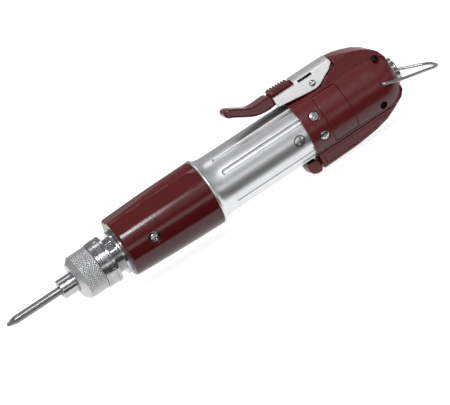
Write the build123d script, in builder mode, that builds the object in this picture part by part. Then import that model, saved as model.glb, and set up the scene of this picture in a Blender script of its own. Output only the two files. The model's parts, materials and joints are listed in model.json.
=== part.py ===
"""Inline electric screwdriver, lever start, with a quick-change bit sleeve and a torque nut.

Frame: the spindle axis is the X axis. X = 0 is the front face of the bit sleeve, +X runs to the
cord inlet, +Z is the lever side. All stations below are distances along X in millimetres.
"""
import math
import os

from build123d import *

os.makedirs("parts", exist_ok=True)

# ------------------------------------------------------------------ driving dimensions
Z_BODY = 1.25            # the shells sit this much above the spindle axis

# bit and quick-change sleeve
BIT_TIP_X = -37.2
BIT_R = 2.5
BIT_AF = 5.0
SLEEVE_R = 6.1
SLEEVE_L = 16.0
SPINDLE_R = 5.0

# torque nut and neck
NUT_X0, NUT_X1, NUT_R = 10.2, 25.7, 14.25
RING_X1, RING_R = 34.8, 15.0
NECK_R = 11.3
NECK_BORE = 10.3
FLANGE_X0, FLANGE_X1, FLANGE_R = 39.9, 42.4, 14.1
THREAD_PITCH = 1.0

# gears
MODULE = 0.5
Z_SUN, Z_PLANET, Z_RING = 12, 18, 48
GEAR_CENTRE = MODULE * (Z_SUN + Z_PLANET) / 2

# shells
COVER_X0, COVER_X1 = 42.6, 103.6
COVER_R0, COVER_R1 = 19.0, 21.0
TUBE_R, TUBE_BORE = 18.5, 16.9
TUBE_X0, TUBE_X1 = 97.5, 183.0
HOUSE_X0, HOUSE_X1, HOUSE_R = 171.0, 237.2, 19.8
FLUTE_W, FLUTE_DEPTH = 3.4, 0.6
FLUTE_ANGLES = (57, 25, -36, -64)

# lever
PIN_X, PIN_Z, PIN_R = 190.9, 22.9, 1.87
LEVER_HALF = 6.4
CHEEK_OUT, CHEEK_IN = 9.8, 8.6

# hanger bail
BAIL_X, BAIL_Z, BAIL_TILT, WIRE_R = 224.6, 1.8, -18.0, 0.95

BODY_AXIS = Axis((0, 0, Z_BODY), (1, 0, 0))
SIDE = Plane.XZ                                                   # local x = X, local y = Z
SIDE_BODY = Plane(origin=(0, 0, Z_BODY), x_dir=(1, 0, 0), z_dir=(0, -1, 0))


def across(x, z=0.0):
    """Plane square to the spindle at station x: local x = Y, local y = Z."""
    return Plane(origin=(x, 0, z), x_dir=(0, 1, 0), z_dir=(1, 0, 0))


def tooth_points(teeth, r_pitch, r_tip, r_root, share=0.40):
    """Outline of a spur gear with flat-faced teeth, one tooth centred on the local x axis."""
    pts = []
    pitch = 2 * math.pi / teeth
    half = share * pitch / 2
    slope = math.tan(math.radians(20))
    h_tip = half - abs(r_tip - r_pitch) * slope / r_pitch
    h_root = half + abs(r_root - r_pitch) * slope / r_pitch
    for k in range(teeth):
        a = k * pitch
        for r, d in ((r_root, -h_root), (r_tip, -h_tip), (r_tip, h_tip), (r_root, h_root)):
            pts.append((r * math.cos(a + d), r * math.sin(a + d)))
    return pts


def finish(builder, name):
    builder.part.label = name
    export_step(builder.part, f"parts/{name}.step")


# ================================================================== bit and quick-change socket
with BuildPart() as bit:
    with BuildSketch(SIDE):
        with BuildLine():
            Polyline((BIT_TIP_X, 0), (BIT_TIP_X, 0.75), (BIT_TIP_X + 0.8, 1.25), (BIT_TIP_X + 5.6, BIT_R),
                     (0.2, BIT_R), (0.2, 0), close=True)
        make_face()
    revolve(axis=Axis.X)
    with BuildSketch(across(0.2)):
        RegularPolygon(radius=BIT_AF / 2, side_count=6, major_radius=False)
    extrude(amount=13.8)
    # four flutes of the cross tip
    with BuildSketch(across(BIT_TIP_X - 0.5)):
        with PolarLocations(1.75, 4, start_angle=45):
            Rectangle(2.0, 2.0, rotation=45)
    extrude(amount=5.2, mode=Mode.SUBTRACT)
    # detent groove in the hexagon end
    with BuildSketch(SIDE):
        with BuildLine():
            Polyline((5.3, 2.15), (7.7, 2.15), (7.7, 3.4), (5.3, 3.4), close=True)
        make_face()
    revolve(axis=Axis.X, mode=Mode.SUBTRACT)
finish(bit, "bit")

with BuildPart() as detent_balls:
    with Locations((6.5, 3.25, 0), (6.5, -3.25, 0)):
        Sphere(0.93)
finish(detent_balls, "detent_balls")

with BuildPart() as spindle:
    with BuildSketch(SIDE):
        with BuildLine():
            Polyline((0.3, 0), (0.3, 4.2), (15.4, 4.2), (15.4, 3.9), (16.2, 3.9), (16.2, SPINDLE_R),
                     (49.8, SPINDLE_R), (49.8, 10.8), (52.8, 10.8), (52.8, 0), close=True)
        make_face()
    revolve(axis=Axis.X)
    with BuildSketch(across(0.3)):
        RegularPolygon(radius=BIT_AF / 2 + 0.05, side_count=6, major_radius=False)
    extrude(amount=14.7, mode=Mode.SUBTRACT)
    # mouth
    with BuildSketch(SIDE):
        with BuildLine():
            Polyline((0.3, 0), (0.3, 3.65), (1.3, 2.7), (1.3, 0), close=True)
        make_face()
    revolve(axis=Axis.X, mode=Mode.SUBTRACT)
    # cross holes for the detent balls
    with BuildSketch(Plane.XZ.offset(-5)):
        with Locations((6.5, 0)):
            Circle(1.0)
    extrude(amount=10, mode=Mode.SUBTRACT)
    # three planet journals on the output carrier
    with BuildSketch(across(52.8)):
        with PolarLocations(GEAR_CENTRE, 3):
            Circle(1.5)
    extrude(amount=5.6)
finish(spindle, "spindle")

with BuildPart() as bit_sleeve:
    with BuildSketch(SIDE):
        with BuildLine():
            Polyline((0.1, 4.25), (0.1, SLEEVE_R - 0.4), (0.5, SLEEVE_R), (SLEEVE_L - 0.4, SLEEVE_R),
                     (SLEEVE_L, SLEEVE_R - 0.3), (SLEEVE_L, 5.6), (9.0, 5.6), (9.0, 4.25),
                     (4.8, 4.25), (4.8, 5.0), (2.0, 5.0), (2.0, 4.25), close=True)
        make_face()
    revolve(axis=Axis.X)
finish(bit_sleeve, "bit_sleeve")

with BuildPart() as sleeve_spring:
    with BuildLine() as sleeve_coil:
        Helix(pitch=1.3, height=5.2, radius=4.95, center=(9.4, 0, 0), direction=(1, 0, 0))
    with BuildSketch(Plane(sleeve_coil.line @ 0, z_dir=sleeve_coil.line % 0)):
        Circle(0.26)
    sweep(is_frenet=True)
finish(sleeve_spring, "sleeve_spring")

with BuildPart() as snap_ring:
    with BuildSketch(across(15.45)):
        Circle(5.35)
        Circle(3.95, mode=Mode.SUBTRACT)
        with Locations((-4.6, 0)):
            Rectangle(2.6, 1.2, mode=Mode.SUBTRACT)
    extrude(amount=0.7)
finish(snap_ring, "snap_ring")

# ================================================================== torque nut, seat and clutch
with BuildPart() as torque_nut:
    with BuildSketch(SIDE):
        with BuildLine():
            Polyline((NUT_X0, 6.7), (NUT_X0, 11.0), (NUT_X0 + 0.35, 11.35), (NUT_X0 + 3.2, NUT_R),
                     (NUT_X1, NUT_R), (NUT_X1, NECK_R + 0.05), (12.4, NECK_R + 0.05), (12.4, 6.7), close=True)
        make_face()
    revolve(axis=Axis.X)
finish(torque_nut, "torque_nut")

with BuildPart() as scale_ring:
    with BuildSketch(SIDE):
        with BuildLine():
            Polyline((NUT_X1, NECK_R + 0.05), (NUT_X1, RING_R - 0.15), (26.4, RING_R - 0.15), (26.4, RING_R - 0.5),
                     (26.9, RING_R - 0.5), (26.9, RING_R - 0.15), (27.7, RING_R - 0.15), (27.7, RING_R - 0.5),
                     (28.1, RING_R - 0.5), (28.1, RING_R - 0.2), (32.6, RING_R - 0.2), (32.6, RING_R - 0.5),
                     (33.0, RING_R - 0.5), (33.0, RING_R), (RING_X1 - 0.3, RING_R), (RING_X1, RING_R - 0.3),
                     (RING_X1, NECK_R + 0.05), close=True)
        make_face()
    revolve(axis=Axis.X)
finish(scale_ring, "scale_ring")

with BuildPart() as thrust_washer:
    with BuildSketch(across(12.5)):
        Circle(10.1)
        Circle(6.8, mode=Mode.SUBTRACT)
    extrude(amount=0.9)
finish(thrust_washer, "thrust_washer")

with BuildPart() as spring_seat:
    with BuildSketch(across(13.4)):
        Circle(10.1)
        Circle(6.9, mode=Mode.SUBTRACT)
    extrude(amount=1.8)
finish(spring_seat, "spring_seat")

with BuildPart() as clutch_spring:
    with BuildLine() as clutch_coil:
        Helix(pitch=3.45, height=20.7, radius=9.1, center=(16.2, 0, 0), direction=(1, 0, 0))
    with BuildSketch(Plane(clutch_coil.line @ 0, z_dir=clutch_coil.line % 0)):
        Circle(0.75)
    sweep(is_frenet=True)
finish(clutch_spring, "clutch_spring")

with BuildPart() as threaded_neck:
    with BuildSketch(SIDE):
        with BuildLine():
            pts = [(18.0, NECK_BORE), (18.0, NECK_R - 0.3), (18.3, NECK_R)]
            x = 19.0
            while x < 38.6:                                   # annular grooves for the fine thread
                pts += [(x, NECK_R), (x + 0.25, NECK_R - 0.4), (x + 0.5, NECK_R - 0.4), (x + 0.75, NECK_R)]
                x += THREAD_PITCH
            pts += [(FLANGE_X0, NECK_R), (FLANGE_X0, FLANGE_R - 0.4), (FLANGE_X0 + 0.4, FLANGE_R),
                    (FLANGE_X1 - 0.2, FLANGE_R), (FLANGE_X1, FLANGE_R - 0.2), (FLANGE_X1, 6.6), (20.0, 6.6),
                    (20.0, 7.6), (FLANGE_X0, 7.6), (FLANGE_X0, NECK_BORE)]
            Polyline(*pts, close=True)
        make_face()
    revolve(axis=Axis.X)
    with BuildSketch(across(FLANGE_X0 - 1)):
        with PolarLocations(9.0, 3, start_angle=30):
            Circle(1.25)
    extrude(amount=5, mode=Mode.SUBTRACT)
    # flat with the graduation, on the side towards the lever's left
    with BuildSketch(across(34.0)):
        with Locations(Location((-8.1, 8.1), 45)):
            Rectangle(5.2, 1.3)
    extrude(amount=5.7, mode=Mode.SUBTRACT)
finish(threaded_neck, "threaded_neck")

with BuildPart() as spindle_bushes:
    for x0, x1 in ((20.5, 25.5), (36.5, 42.0)):
        with BuildSketch(across(x0)):
            Circle(6.58)
            Circle(SPINDLE_R + 0.03, mode=Mode.SUBTRACT)
        extrude(amount=x1 - x0)
finish(spindle_bushes, "spindle_bushes")

with BuildPart() as clutch_pusher:
    with BuildSketch(across(38.0)):
        Circle(10.15)
        Circle(7.75, mode=Mode.SUBTRACT)
    extrude(amount=1.2)
    with BuildSketch(across(39.2)):
        with PolarLocations(9.0, 3, start_angle=30):
            Circle(1.08)
    extrude(amount=4.2)
finish(clutch_pusher, "clutch_pusher")

with BuildPart() as press_plate:
    with BuildSketch(across(43.4)):
        Circle(12.6)
        Circle(6.4, mode=Mode.SUBTRACT)
    extrude(amount=2.0)
finish(press_plate, "press_plate")

with BuildPart() as clutch_balls:
    with Locations(*[(46.95, 9.5 * math.cos(math.radians(a)), 9.5 * math.sin(math.radians(a))) for a in range(0, 360, 60)]):
        Sphere(1.5)
finish(clutch_balls, "clutch_balls")

# ================================================================== two-stage planetary gearbox
with BuildPart() as gear_case:
    with BuildSketch(SIDE):
        with BuildLine():
            Polyline((FLANGE_X1, 13.0), (FLANGE_X1, 14.9), (74.0, 14.9), (74.0, 13.6), (43.2, 13.6), (43.2, 13.0),
                     close=True)
        make_face()
    revolve(axis=Axis.X)
    # two side holes for the cover screws
    with BuildSketch(Plane.XZ.offset(-16)):
        with Locations((61.0, 0)):
            Circle(1.25)
    extrude(amount=32, mode=Mode.SUBTRACT)
finish(gear_case, "gear_case")

with BuildPart() as ring_gear:
    with BuildSketch(across(49.4)):
        Circle(13.4)
    extrude(amount=18.6)
    with BuildSketch(across(49.4)):
        with BuildLine():
            Polyline(*tooth_points(Z_RING, 12.0, 11.6, 12.6), close=True)
        make_face()
    extrude(amount=18.6, mode=Mode.SUBTRACT)
    # closed front with the ball pockets of the clutch
    with BuildSketch(across(47.9)):
        Circle(13.4)
        Circle(6.0, mode=Mode.SUBTRACT)
    extrude(amount=1.5)
    with BuildSketch(across(47.0)):
        with PolarLocations(9.5, 6):
            Circle(1.3)
    extrude(amount=1.52, mode=Mode.SUBTRACT)
finish(ring_gear, "ring_gear")


def planet_outline():
    # a gap of the planet faces the sun, and another faces the ring
    pts = tooth_points(Z_PLANET, 4.5, 4.9, 3.9)
    turn = math.pi / Z_PLANET
    return [(x * math.cos(turn) - y * math.sin(turn), x * math.sin(turn) + y * math.cos(turn)) for x, y in pts]


for stage, x0 in (("output", 53.2), ("input", 61.8)):
    for k, letter in enumerate("abc"):
        a = k * 120.0
        here = Plane(origin=(x0, GEAR_CENTRE * math.cos(math.radians(a)), GEAR_CENTRE * math.sin(math.radians(a))),
                     x_dir=(0, math.cos(math.radians(a)), math.sin(math.radians(a))), z_dir=(1, 0, 0))
        with BuildPart() as planet:
            with BuildSketch(here):
                with BuildLine():
                    Polyline(*planet_outline(), close=True)
                make_face()
                Circle(1.53, mode=Mode.SUBTRACT)
            extrude(amount=5.0)
        finish(planet, f"{stage}_planet_{letter}")

with BuildPart() as first_carrier:
    with BuildSketch(across(58.8)):
        Circle(10.8)
    extrude(amount=2.6)
    with BuildSketch(across(53.2)):
        with BuildLine():
            Polyline(*tooth_points(Z_SUN, 3.0, 3.4, 2.4), close=True)
        make_face()
    extrude(amount=5.6)
    with BuildSketch(across(61.4)):
        with PolarLocations(GEAR_CENTRE, 3):
            Circle(1.5)
    extrude(amount=5.7)
finish(first_carrier, "first_carrier")

# ================================================================== motor
with BuildPart() as motor_shaft:
    with BuildSketch(across(61.8)):
        with BuildLine():
            Polyline(*tooth_points(Z_SUN, 3.0, 3.4, 2.4), close=True)
        make_face()
    extrude(amount=6.4)
    with BuildSketch(across(68.2)):
        Circle(1.6)
    extrude(amount=174.0 - 68.2)
finish(motor_shaft, "motor_shaft")

with BuildPart() as rotor_core:
    with BuildSketch(across(98.0)):
        Circle(12.0)
        Circle(1.61, mode=Mode.SUBTRACT)
        with PolarLocations(9.6, 9):
            SlotCenterToCenter(3.0, 2.6)
        with PolarLocations(9.6, 9):
            SlotCenterToCenter(3.0, 2.6, mode=Mode.SUBTRACT)
        with PolarLocations(11.8, 9):
            Rectangle(1.6, 0.9, mode=Mode.SUBTRACT)
    extrude(amount=42.0)
finish(rotor_core, "rotor_core")

with BuildPart() as rotor_windings:
    for x0, x1 in ((91.5, 98.0), (140.0, 147.5)):
        with BuildSketch(SIDE):
            with BuildLine():
                Polyline((x0, 3.0), (x0, 9.6), (x0 + 1.2, 10.8), (x1 - 0.8, 11.2), (x1, 10.6), (x1, 3.0), close=True)
            make_face()
        revolve(axis=Axis.X)
finish(rotor_windings, "rotor_windings")

with BuildPart() as commutator:
    with BuildSketch(across(156.5)):
        Circle(6.0)
        Circle(1.61, mode=Mode.SUBTRACT)
        with PolarLocations(5.9, 9, start_angle=20):
            Rectangle(0.8, 0.4, mode=Mode.SUBTRACT)
    extrude(amount=13.5)
finish(commutator, "commutator")

with BuildPart() as motor_can:
    with BuildSketch(SIDE):
        with BuildLine():
            Polyline((76.0, 4.1), (76.0, 15.3), (153.0, 15.3), (153.0, 14.5), (80.0, 14.5), (80.0, 4.1), close=True)
        make_face()
    revolve(axis=Axis.X)
finish(motor_can, "motor_can")

with BuildPart() as motor_magnets:
    with BuildSketch(across(97.0)):
        Circle(14.45)
        Circle(12.5, mode=Mode.SUBTRACT)
        Rectangle(8.0, 40.0, mode=Mode.SUBTRACT)
    extrude(amount=44.0)
finish(motor_magnets, "motor_magnets")

with BuildPart() as motor_bearings:
    for x0 in (76.6, 170.6):
        with BuildSketch(across(x0)):
            Circle(4.06)
            Circle(1.63, mode=Mode.SUBTRACT)
        extrude(amount=3.2)
finish(motor_bearings, "motor_bearings")

with BuildPart() as motor_end_bracket:
    with BuildSketch(SIDE):
        with BuildLine():
            Polyline((153.0, 11.6), (153.0, 15.3), (174.2, 15.3), (174.2, 4.1), (170.2, 4.1), (170.2, 11.6), close=True)
        make_face()
    revolve(axis=Axis.X)
    with BuildSketch(Plane.XZ.offset(-20)):
        with Locations((164.7, 0)):
            Circle(3.3)
    extrude(amount=40, mode=Mode.SUBTRACT)
finish(motor_end_bracket, "motor_end_bracket")

BRUSH_SIDES = (1, -1)
with BuildPart() as brush_holders:
    for s in BRUSH_SIDES:
        with BuildSketch(Plane(origin=(164.7, s * 7.0, 0), x_dir=(1, 0, 0), z_dir=(0, s, 0))):
            Circle(3.22)
            Circle(2.5, mode=Mode.SUBTRACT)
        extrude(amount=10.2)
finish(brush_holders, "brush_holders")

with BuildPart() as carbon_brushes:
    for s in BRUSH_SIDES:
        with BuildSketch(Plane(origin=(164.7, s * 6.05, 0), x_dir=(1, 0, 0), z_dir=(0, s, 0))):
            Rectangle(3.4, 3.4)
        extrude(amount=5.4)
finish(carbon_brushes, "carbon_brushes")

with BuildPart() as brush_springs:
    for s in BRUSH_SIDES:
        with BuildLine() as brush_coil:
            Helix(pitch=1.0, height=3.9, radius=1.6, center=(164.7, s * 11.8, 0), direction=(0, s, 0))
        with BuildSketch(Plane(brush_coil.line @ 0, z_dir=brush_coil.line % 0)):
            Circle(0.2)
        sweep(path=brush_coil.line, is_frenet=True)
finish(brush_springs, "brush_springs")

with BuildPart() as brush_caps:
    for s in BRUSH_SIDES:
        with BuildSketch(Plane(origin=(164.7, s * 16.1, 0), x_dir=(1, 0, 0), z_dir=(0, s, 0))):
            Circle(2.4)
        extrude(amount=1.3)
        with BuildSketch(Plane(origin=(164.7, s * 17.3, 0), x_dir=(1, 0, 0), z_dir=(0, s, 0))):
            Circle(3.2)
        extrude(amount=1.3)
        with BuildSketch(Plane(origin=(164.7, s * 17.9, 0), x_dir=(1, 0, 0), z_dir=(0, s, 0))):
            Rectangle(8.0, 0.9, rotation=60)
        extrude(amount=1.5, mode=Mode.SUBTRACT)
finish(brush_caps, "brush_caps")

# ================================================================== front cover and its screws
with BuildPart() as front_cover:
    # a slightly tapered cup whose centre line drops a little towards the barrel
    with BuildSketch(across(COVER_X0, 1.85)):
        Circle(COVER_R0 - 1.9)
    with BuildSketch(across(COVER_X0 + 0.7, 1.85)):
        Circle(COVER_R0 - 0.6)
    loft(ruled=True)
    with BuildSketch(across(COVER_X0 + 0.7, 1.85)):
        Circle(COVER_R0 - 0.6)
    with BuildSketch(across(COVER_X0 + 2.6, 1.85)):
        Circle(COVER_R0 + 0.1)
    loft(ruled=True)
    with BuildSketch(across(COVER_X0 + 2.6, 1.85)):
        Circle(COVER_R0 + 0.1)
    with BuildSketch(across(COVER_X1, 1.15)):
        Circle(COVER_R1)
    loft(ruled=True)
    # inside
    with BuildSketch(across(COVER_X0 + 2.0, 1.7)):
        Circle(COVER_R0 - 1.9)
    with BuildSketch(across(COVER_X1, 1.25)):
        Circle(COVER_R1 - 1.7)
    loft(ruled=True, mode=Mode.SUBTRACT)
    with BuildSketch(across(COVER_X0 - 1)):
        Circle(15.05)
    extrude(amount=4, mode=Mode.SUBTRACT)
    # recesses and holes for the two side screws
    for s in BRUSH_SIDES:
        with BuildSketch(Plane(origin=(61.0, s * 18.0, 0), x_dir=(1, 0, 0), z_dir=(0, s, 0))):
            Circle(3.9)
        extrude(amount=4, mode=Mode.SUBTRACT)
        with BuildSketch(Plane(origin=(61.0, s * 14.0, 0), x_dir=(1, 0, 0), z_dir=(0, s, 0))):
            Circle(1.5)
        extrude(amount=6, mode=Mode.SUBTRACT)
finish(front_cover, "front_cover")

with BuildPart() as front_cover_screws:
    for s in BRUSH_SIDES:
        with BuildSketch(Plane(origin=(61.0, s * 13.65, 0), x_dir=(1, 0, 0), z_dir=(0, s, 0))):
            Circle(1.2)
        extrude(amount=4.4)
        with BuildSketch(Plane(origin=(61.0, s * 18.05, 0), x_dir=(1, 0, 0), z_dir=(0, s, 0))):
            Circle(2.55)
        extrude(amount=1.2)
        with BuildSketch(Plane(origin=(61.0, s * 18.7, 0), x_dir=(1, 0, 0), z_dir=(0, s, 0))):
            Rectangle(3.0, 0.7, rotation=20)
            Rectangle(3.0, 0.7, rotation=110)
        extrude(amount=1.0, mode=Mode.SUBTRACT)
finish(front_cover_screws, "front_cover_screws")

# ================================================================== aluminium barrel
SCREW_X, SCREW_ANGLES = 179.6, (20, -20, 160, 200)
with BuildPart() as barrel:
    with BuildSketch(SIDE_BODY):
        with BuildLine():
            Polyline((114.5, TUBE_R), (TUBE_X1, TUBE_R), (TUBE_X1, TUBE_BORE), (TUBE_X0, TUBE_BORE), (TUBE_X0, 18.85),
                     (COVER_X1, 18.85), (COVER_X1, 20.7), (104.1, 21.3), (105.2, 21.3), (105.9, 20.5))
            ThreePointArc((105.9, 20.5), (109.2, 19.05), (114.5, TUBE_R))
        make_face()
    revolve(axis=BODY_AXIS)
    # lengthwise flutes with round front ends
    for side in (1, -1):
        for angle in FLUTE_ANGLES:
            c, s = math.cos(math.radians(angle)), math.sin(math.radians(angle))
            d = TUBE_R - FLUTE_DEPTH
            with BuildSketch(Plane(origin=(152.0, side * c * d, Z_BODY + s * d), x_dir=(1, 0, 0), z_dir=(0, side * c, s))):
                SlotCenterToCenter(2 * (152.0 - 115.2 - FLUTE_W / 2), FLUTE_W)
            extrude(amount=2.5, mode=Mode.SUBTRACT)
    # brush holes, housing screw holes, and the notch for the start switch
    with BuildSketch(Plane.XZ.offset(-20)):
        with Locations((164.7, 0)):
            Circle(3.32)
    extrude(amount=40, mode=Mode.SUBTRACT)
    for a in SCREW_ANGLES:
        c, s = math.cos(math.radians(a)), math.sin(math.radians(a))
        with BuildSketch(Plane(origin=(SCREW_X, c * 15, Z_BODY + s * 15), x_dir=(1, 0, 0), z_dir=(0, c, s))):
            Circle(1.3)
        extrude(amount=5, mode=Mode.SUBTRACT)
    with BuildSketch(Plane.XY.offset(10)):
        with Locations((180.0, 0)):
            Rectangle(10.8, 7.4)
    extrude(amount=12, mode=Mode.SUBTRACT)
finish(barrel, "aluminium_barrel")

# ================================================================== rear housing
KEEL_TOP = -15.2
with BuildPart() as ridge:
    with BuildSketch(across(HOUSE_X0)):
        with BuildLine():
            Polyline((-11.8, 10.0), (-11.8, 15.0), (-9.9, 26.5), (-8.4, 29.0), (-4.0, 31.0), (4.0, 31.0), (8.4, 29.0),
                     (9.9, 26.5), (11.8, 15.0), (11.8, 10.0), close=True)
        make_face()
    extrude(amount=HOUSE_X1 - HOUSE_X0)
    with BuildSketch(SIDE.offset(-13)):
        with BuildLine():
            Polyline((HOUSE_X0, 10), (HOUSE_X0, 19.4), (185, 18.6), (191, 18.5), (194.4, 18.8), (200.3, 22.4),
                     (207.6, 24.4), (207.6, 30.3), (209, 29.9), (220, 26.5), (226, 24.1), (231, 21.1), (234, 18.1),
                     (236.2, 13.0), (236.6, 10), close=True)
        make_face()
    extrude(amount=26, mode=Mode.INTERSECT)

with BuildPart() as keel:
    with BuildSketch(across(172.0)):
        with BuildLine():
            Polyline((-13.6, -8.0), (-12.6, -13.6), (-8.9, -23.4), (-7.2, -25.4), (7.2, -25.4), (8.9, -23.4), (12.6, -13.6),
                     (13.6, -8.0), close=True)
        make_face()
    extrude(amount=64.5)
    with BuildSketch(SIDE.offset(-14)):
        with BuildLine():
            Polyline((172.0, -8), (172.0, -25.2), (196, -24.4), (211, -22.5), (219.6, -20.4), (233, -12.9),
                     (235.6, -9.4), (235.6, -8), close=True)
        make_face()
    extrude(amount=28, mode=Mode.INTERSECT)

with BuildPart() as panel_pockets:
    with BuildSketch(SIDE_BODY):
        with BuildLine():
            Polyline((184.7, 18.75), (184.7, 22), (201.5, 22), (201.5, 18.75), close=True)
        make_face()
    revolve(axis=BODY_AXIS)
    with BuildSketch(SIDE.offset(-25)):
        with Locations((193.1, 1.65)):
            RectangleRounded(16.8, 29.8, 1.75)
    extrude(amount=50, mode=Mode.INTERSECT)

with BuildPart() as housing:
    with BuildSketch(SIDE_BODY):
        with BuildLine():
            Polyline((223.0, HOUSE_R), (HOUSE_X0 + 0.4, HOUSE_R), (HOUSE_X0, HOUSE_R - 0.4), (HOUSE_X0, 0), (HOUSE_X1, 0),
                     (HOUSE_X1, 10.5))
            EllipticalCenterArc((223.0, 10.5), HOUSE_X1 - 223.0, HOUSE_R - 10.5, start_angle=0, arc_size=90)
        make_face()
    revolve(axis=BODY_AXIS)
    add(ridge.part)
    # block between the lever cheeks
    with BuildSketch(SIDE.offset(-8.3)):
        with BuildLine():
            Polyline((187.2, 10), (187.2, 25.6), (207.6, 25.6), (207.6, 10), close=True)
        make_face()
    extrude(amount=16.6)
    # upper part of the keel, down to the ledge
    add(keel.part)
    with BuildSketch(Plane.XY.offset(KEEL_TOP)):
        with Locations((204, 0)):
            Rectangle(70, 40)
    extrude(amount=-12, mode=Mode.SUBTRACT)
    with BuildSketch(SIDE_BODY):
        with BuildLine():
            Polyline((HOUSE_X0, 0), (HOUSE_X0, HOUSE_R - 0.4), (HOUSE_X0 + 0.4, HOUSE_R), (222.0, HOUSE_R), (222.0, 0), close=True)
        make_face()
    revolve(axis=BODY_AXIS)
    # inside: over the barrel end, then the motor and board space
    with BuildSketch(SIDE_BODY):
        with BuildLine():
            Polyline((HOUSE_X0 - 1, 0), (HOUSE_X0 - 1, TUBE_R + 0.03), (183.2, TUBE_R + 0.03), (183.2, 17.2), (222.0, 17.2),
                     (228.5, 15.2), (233.6, 11.0), (233.6, 0), close=True)
        make_face()
    revolve(axis=BODY_AXIS, mode=Mode.SUBTRACT)
    with BuildSketch(SIDE.offset(-7.2)):
        with BuildLine():
            Polyline((209.8, 12), (209.8, 27.4), (220, 24.4), (224.5, 22.4), (224.5, 12), close=True)
        make_face()
    extrude(amount=14.4, mode=Mode.SUBTRACT)
    # screw bosses across the two halves
    for bx, bz, half in ((230.0, 14.8, 9.4), (220.0, -10.6, 12.4)):
        with BuildSketch(SIDE.offset(-half)):
            with Locations((bx, bz)):
                Circle(3.3)
        extrude(amount=2 * half)
        with BuildSketch(SIDE.offset(-20)):
            with Locations((bx, bz)):
                Circle(1.3)
        extrude(amount=40, mode=Mode.SUBTRACT)
        with BuildSketch(SIDE.offset(half - 1.4)):
            with Locations((bx, bz)):
                Circle(2.35)
        extrude(amount=12, mode=Mode.SUBTRACT)
    # cord inlet hole
    with BuildSketch(across(225)):
        Circle(7.65)
    extrude(amount=14, mode=Mode.SUBTRACT)
    # recess for the lever cheeks
    for y0 in (8.3, -10.4):
        with BuildSketch(SIDE.offset(-y0)):
            with BuildLine():
                Polyline((HOUSE_X0 - 1, 19.4), (185, 18.6), (191, 18.5), (194.4, 18.8), (200.3, 22.4), (207.6, 24.4),
                         (207.6, 34), (HOUSE_X0 - 1, 34), close=True)
            make_face()
        extrude(amount=-2.1, mode=Mode.SUBTRACT)
    # lever pin, switch plunger and bail pivots
    with BuildSketch(SIDE.offset(-12)):
        with Locations((PIN_X, PIN_Z)):
            Circle(PIN_R + 0.01)
    extrude(amount=24, mode=Mode.SUBTRACT)
    with BuildSketch(Plane.XY.offset(15)):
        with Locations((178.0, 0)):
            Circle(1.35)
    extrude(amount=10, mode=Mode.SUBTRACT)
    with BuildSketch(SIDE.offset(-21)):
        with Locations((BAIL_X, BAIL_Z)):
            Circle(WIRE_R + 0.06)
    extrude(amount=42, mode=Mode.SUBTRACT)
    # housing screws near the barrel
    for a in SCREW_ANGLES:
        c, s = math.cos(math.radians(a)), math.sin(math.radians(a))
        with BuildSketch(Plane(origin=(SCREW_X, c * 18.95, Z_BODY + s * 18.95), x_dir=(1, 0, 0), z_dir=(0, c, s))):
            Circle(3.35)
        extrude(amount=3, mode=Mode.SUBTRACT)
        with BuildSketch(Plane(origin=(SCREW_X, c * 17, Z_BODY + s * 17), x_dir=(1, 0, 0), z_dir=(0, c, s))):
            Circle(1.4)
        extrude(amount=3, mode=Mode.SUBTRACT)
    # pockets for the two side panels
    add(panel_pockets.part, mode=Mode.SUBTRACT)

with BuildPart() as housing_left:
    add(housing.part)
    with Locations((204, 25.0, 5)):
        Box(80, 50, 90, mode=Mode.SUBTRACT)
finish(housing_left, "housing_left")

with BuildPart() as housing_right:
    mirror(housing_left.part, about=Plane.XZ)
finish(housing_right, "housing_right")

for name, other in (("side_panel_left", 25.0), ("side_panel_right", -25.0)):
    with BuildPart() as panel:
        with BuildSketch(SIDE_BODY):
            with BuildLine():
                Polyline((184.85, 18.78), (184.85, HOUSE_R), (201.35, HOUSE_R), (201.35, 18.78), close=True)
            make_face()
        revolve(axis=BODY_AXIS)
        with BuildSketch(SIDE.offset(-25)):
            with Locations((193.1, 1.65)):
                RectangleRounded(16.5, 29.5, 1.6)
        extrude(amount=50, mode=Mode.INTERSECT)
        with Locations((204, other, 5)):
            Box(80, 50, 90, mode=Mode.SUBTRACT)
    finish(panel, name)

with BuildPart() as housing_screws:
    for a in SCREW_ANGLES:
        c, s = math.cos(math.radians(a)), math.sin(math.radians(a))
        with BuildSketch(Plane(origin=(SCREW_X, c * 16.0, Z_BODY + s * 16.0), x_dir=(1, 0, 0), z_dir=(0, c, s))):
            Circle(1.15)
        extrude(amount=3.0)
        with BuildSketch(Plane(origin=(SCREW_X, c * 18.96, Z_BODY + s * 18.96), x_dir=(1, 0, 0), z_dir=(0, c, s))):
            Circle(2.75)
        extrude(amount=0.95)
        for turn in (25, 115):
            with BuildSketch(Plane(origin=(SCREW_X, c * 19.5, Z_BODY + s * 19.5), x_dir=(1, 0, 0), z_dir=(0, c, s))):
                Rectangle(3.4, 0.7, rotation=turn)
            extrude(amount=1.0, mode=Mode.SUBTRACT)
finish(housing_screws, "housing_screws")

with BuildPart() as clamp_screws:
    for bx, bz, half in ((230.0, 14.8, 9.4), (220.0, -10.6, 12.4)):
        with BuildSketch(SIDE.offset(-half + 1.5)):
            with Locations((bx, bz)):
                Circle(1.2)
        extrude(amount=2 * half - 2.8)
        with BuildSketch(SIDE.offset(half - 1.35)):
            with Locations((bx, bz)):
                Circle(2.1)
        extrude(amount=1.2)
        with BuildSketch(SIDE.offset(half - 0.8)):
            with Locations((bx, bz)):
                Rectangle(2.8, 0.6, rotation=30)
                Rectangle(2.8, 0.6, rotation=120)
        extrude(amount=1.2, mode=Mode.SUBTRACT)
finish(clamp_screws, "clamp_screws")

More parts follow.
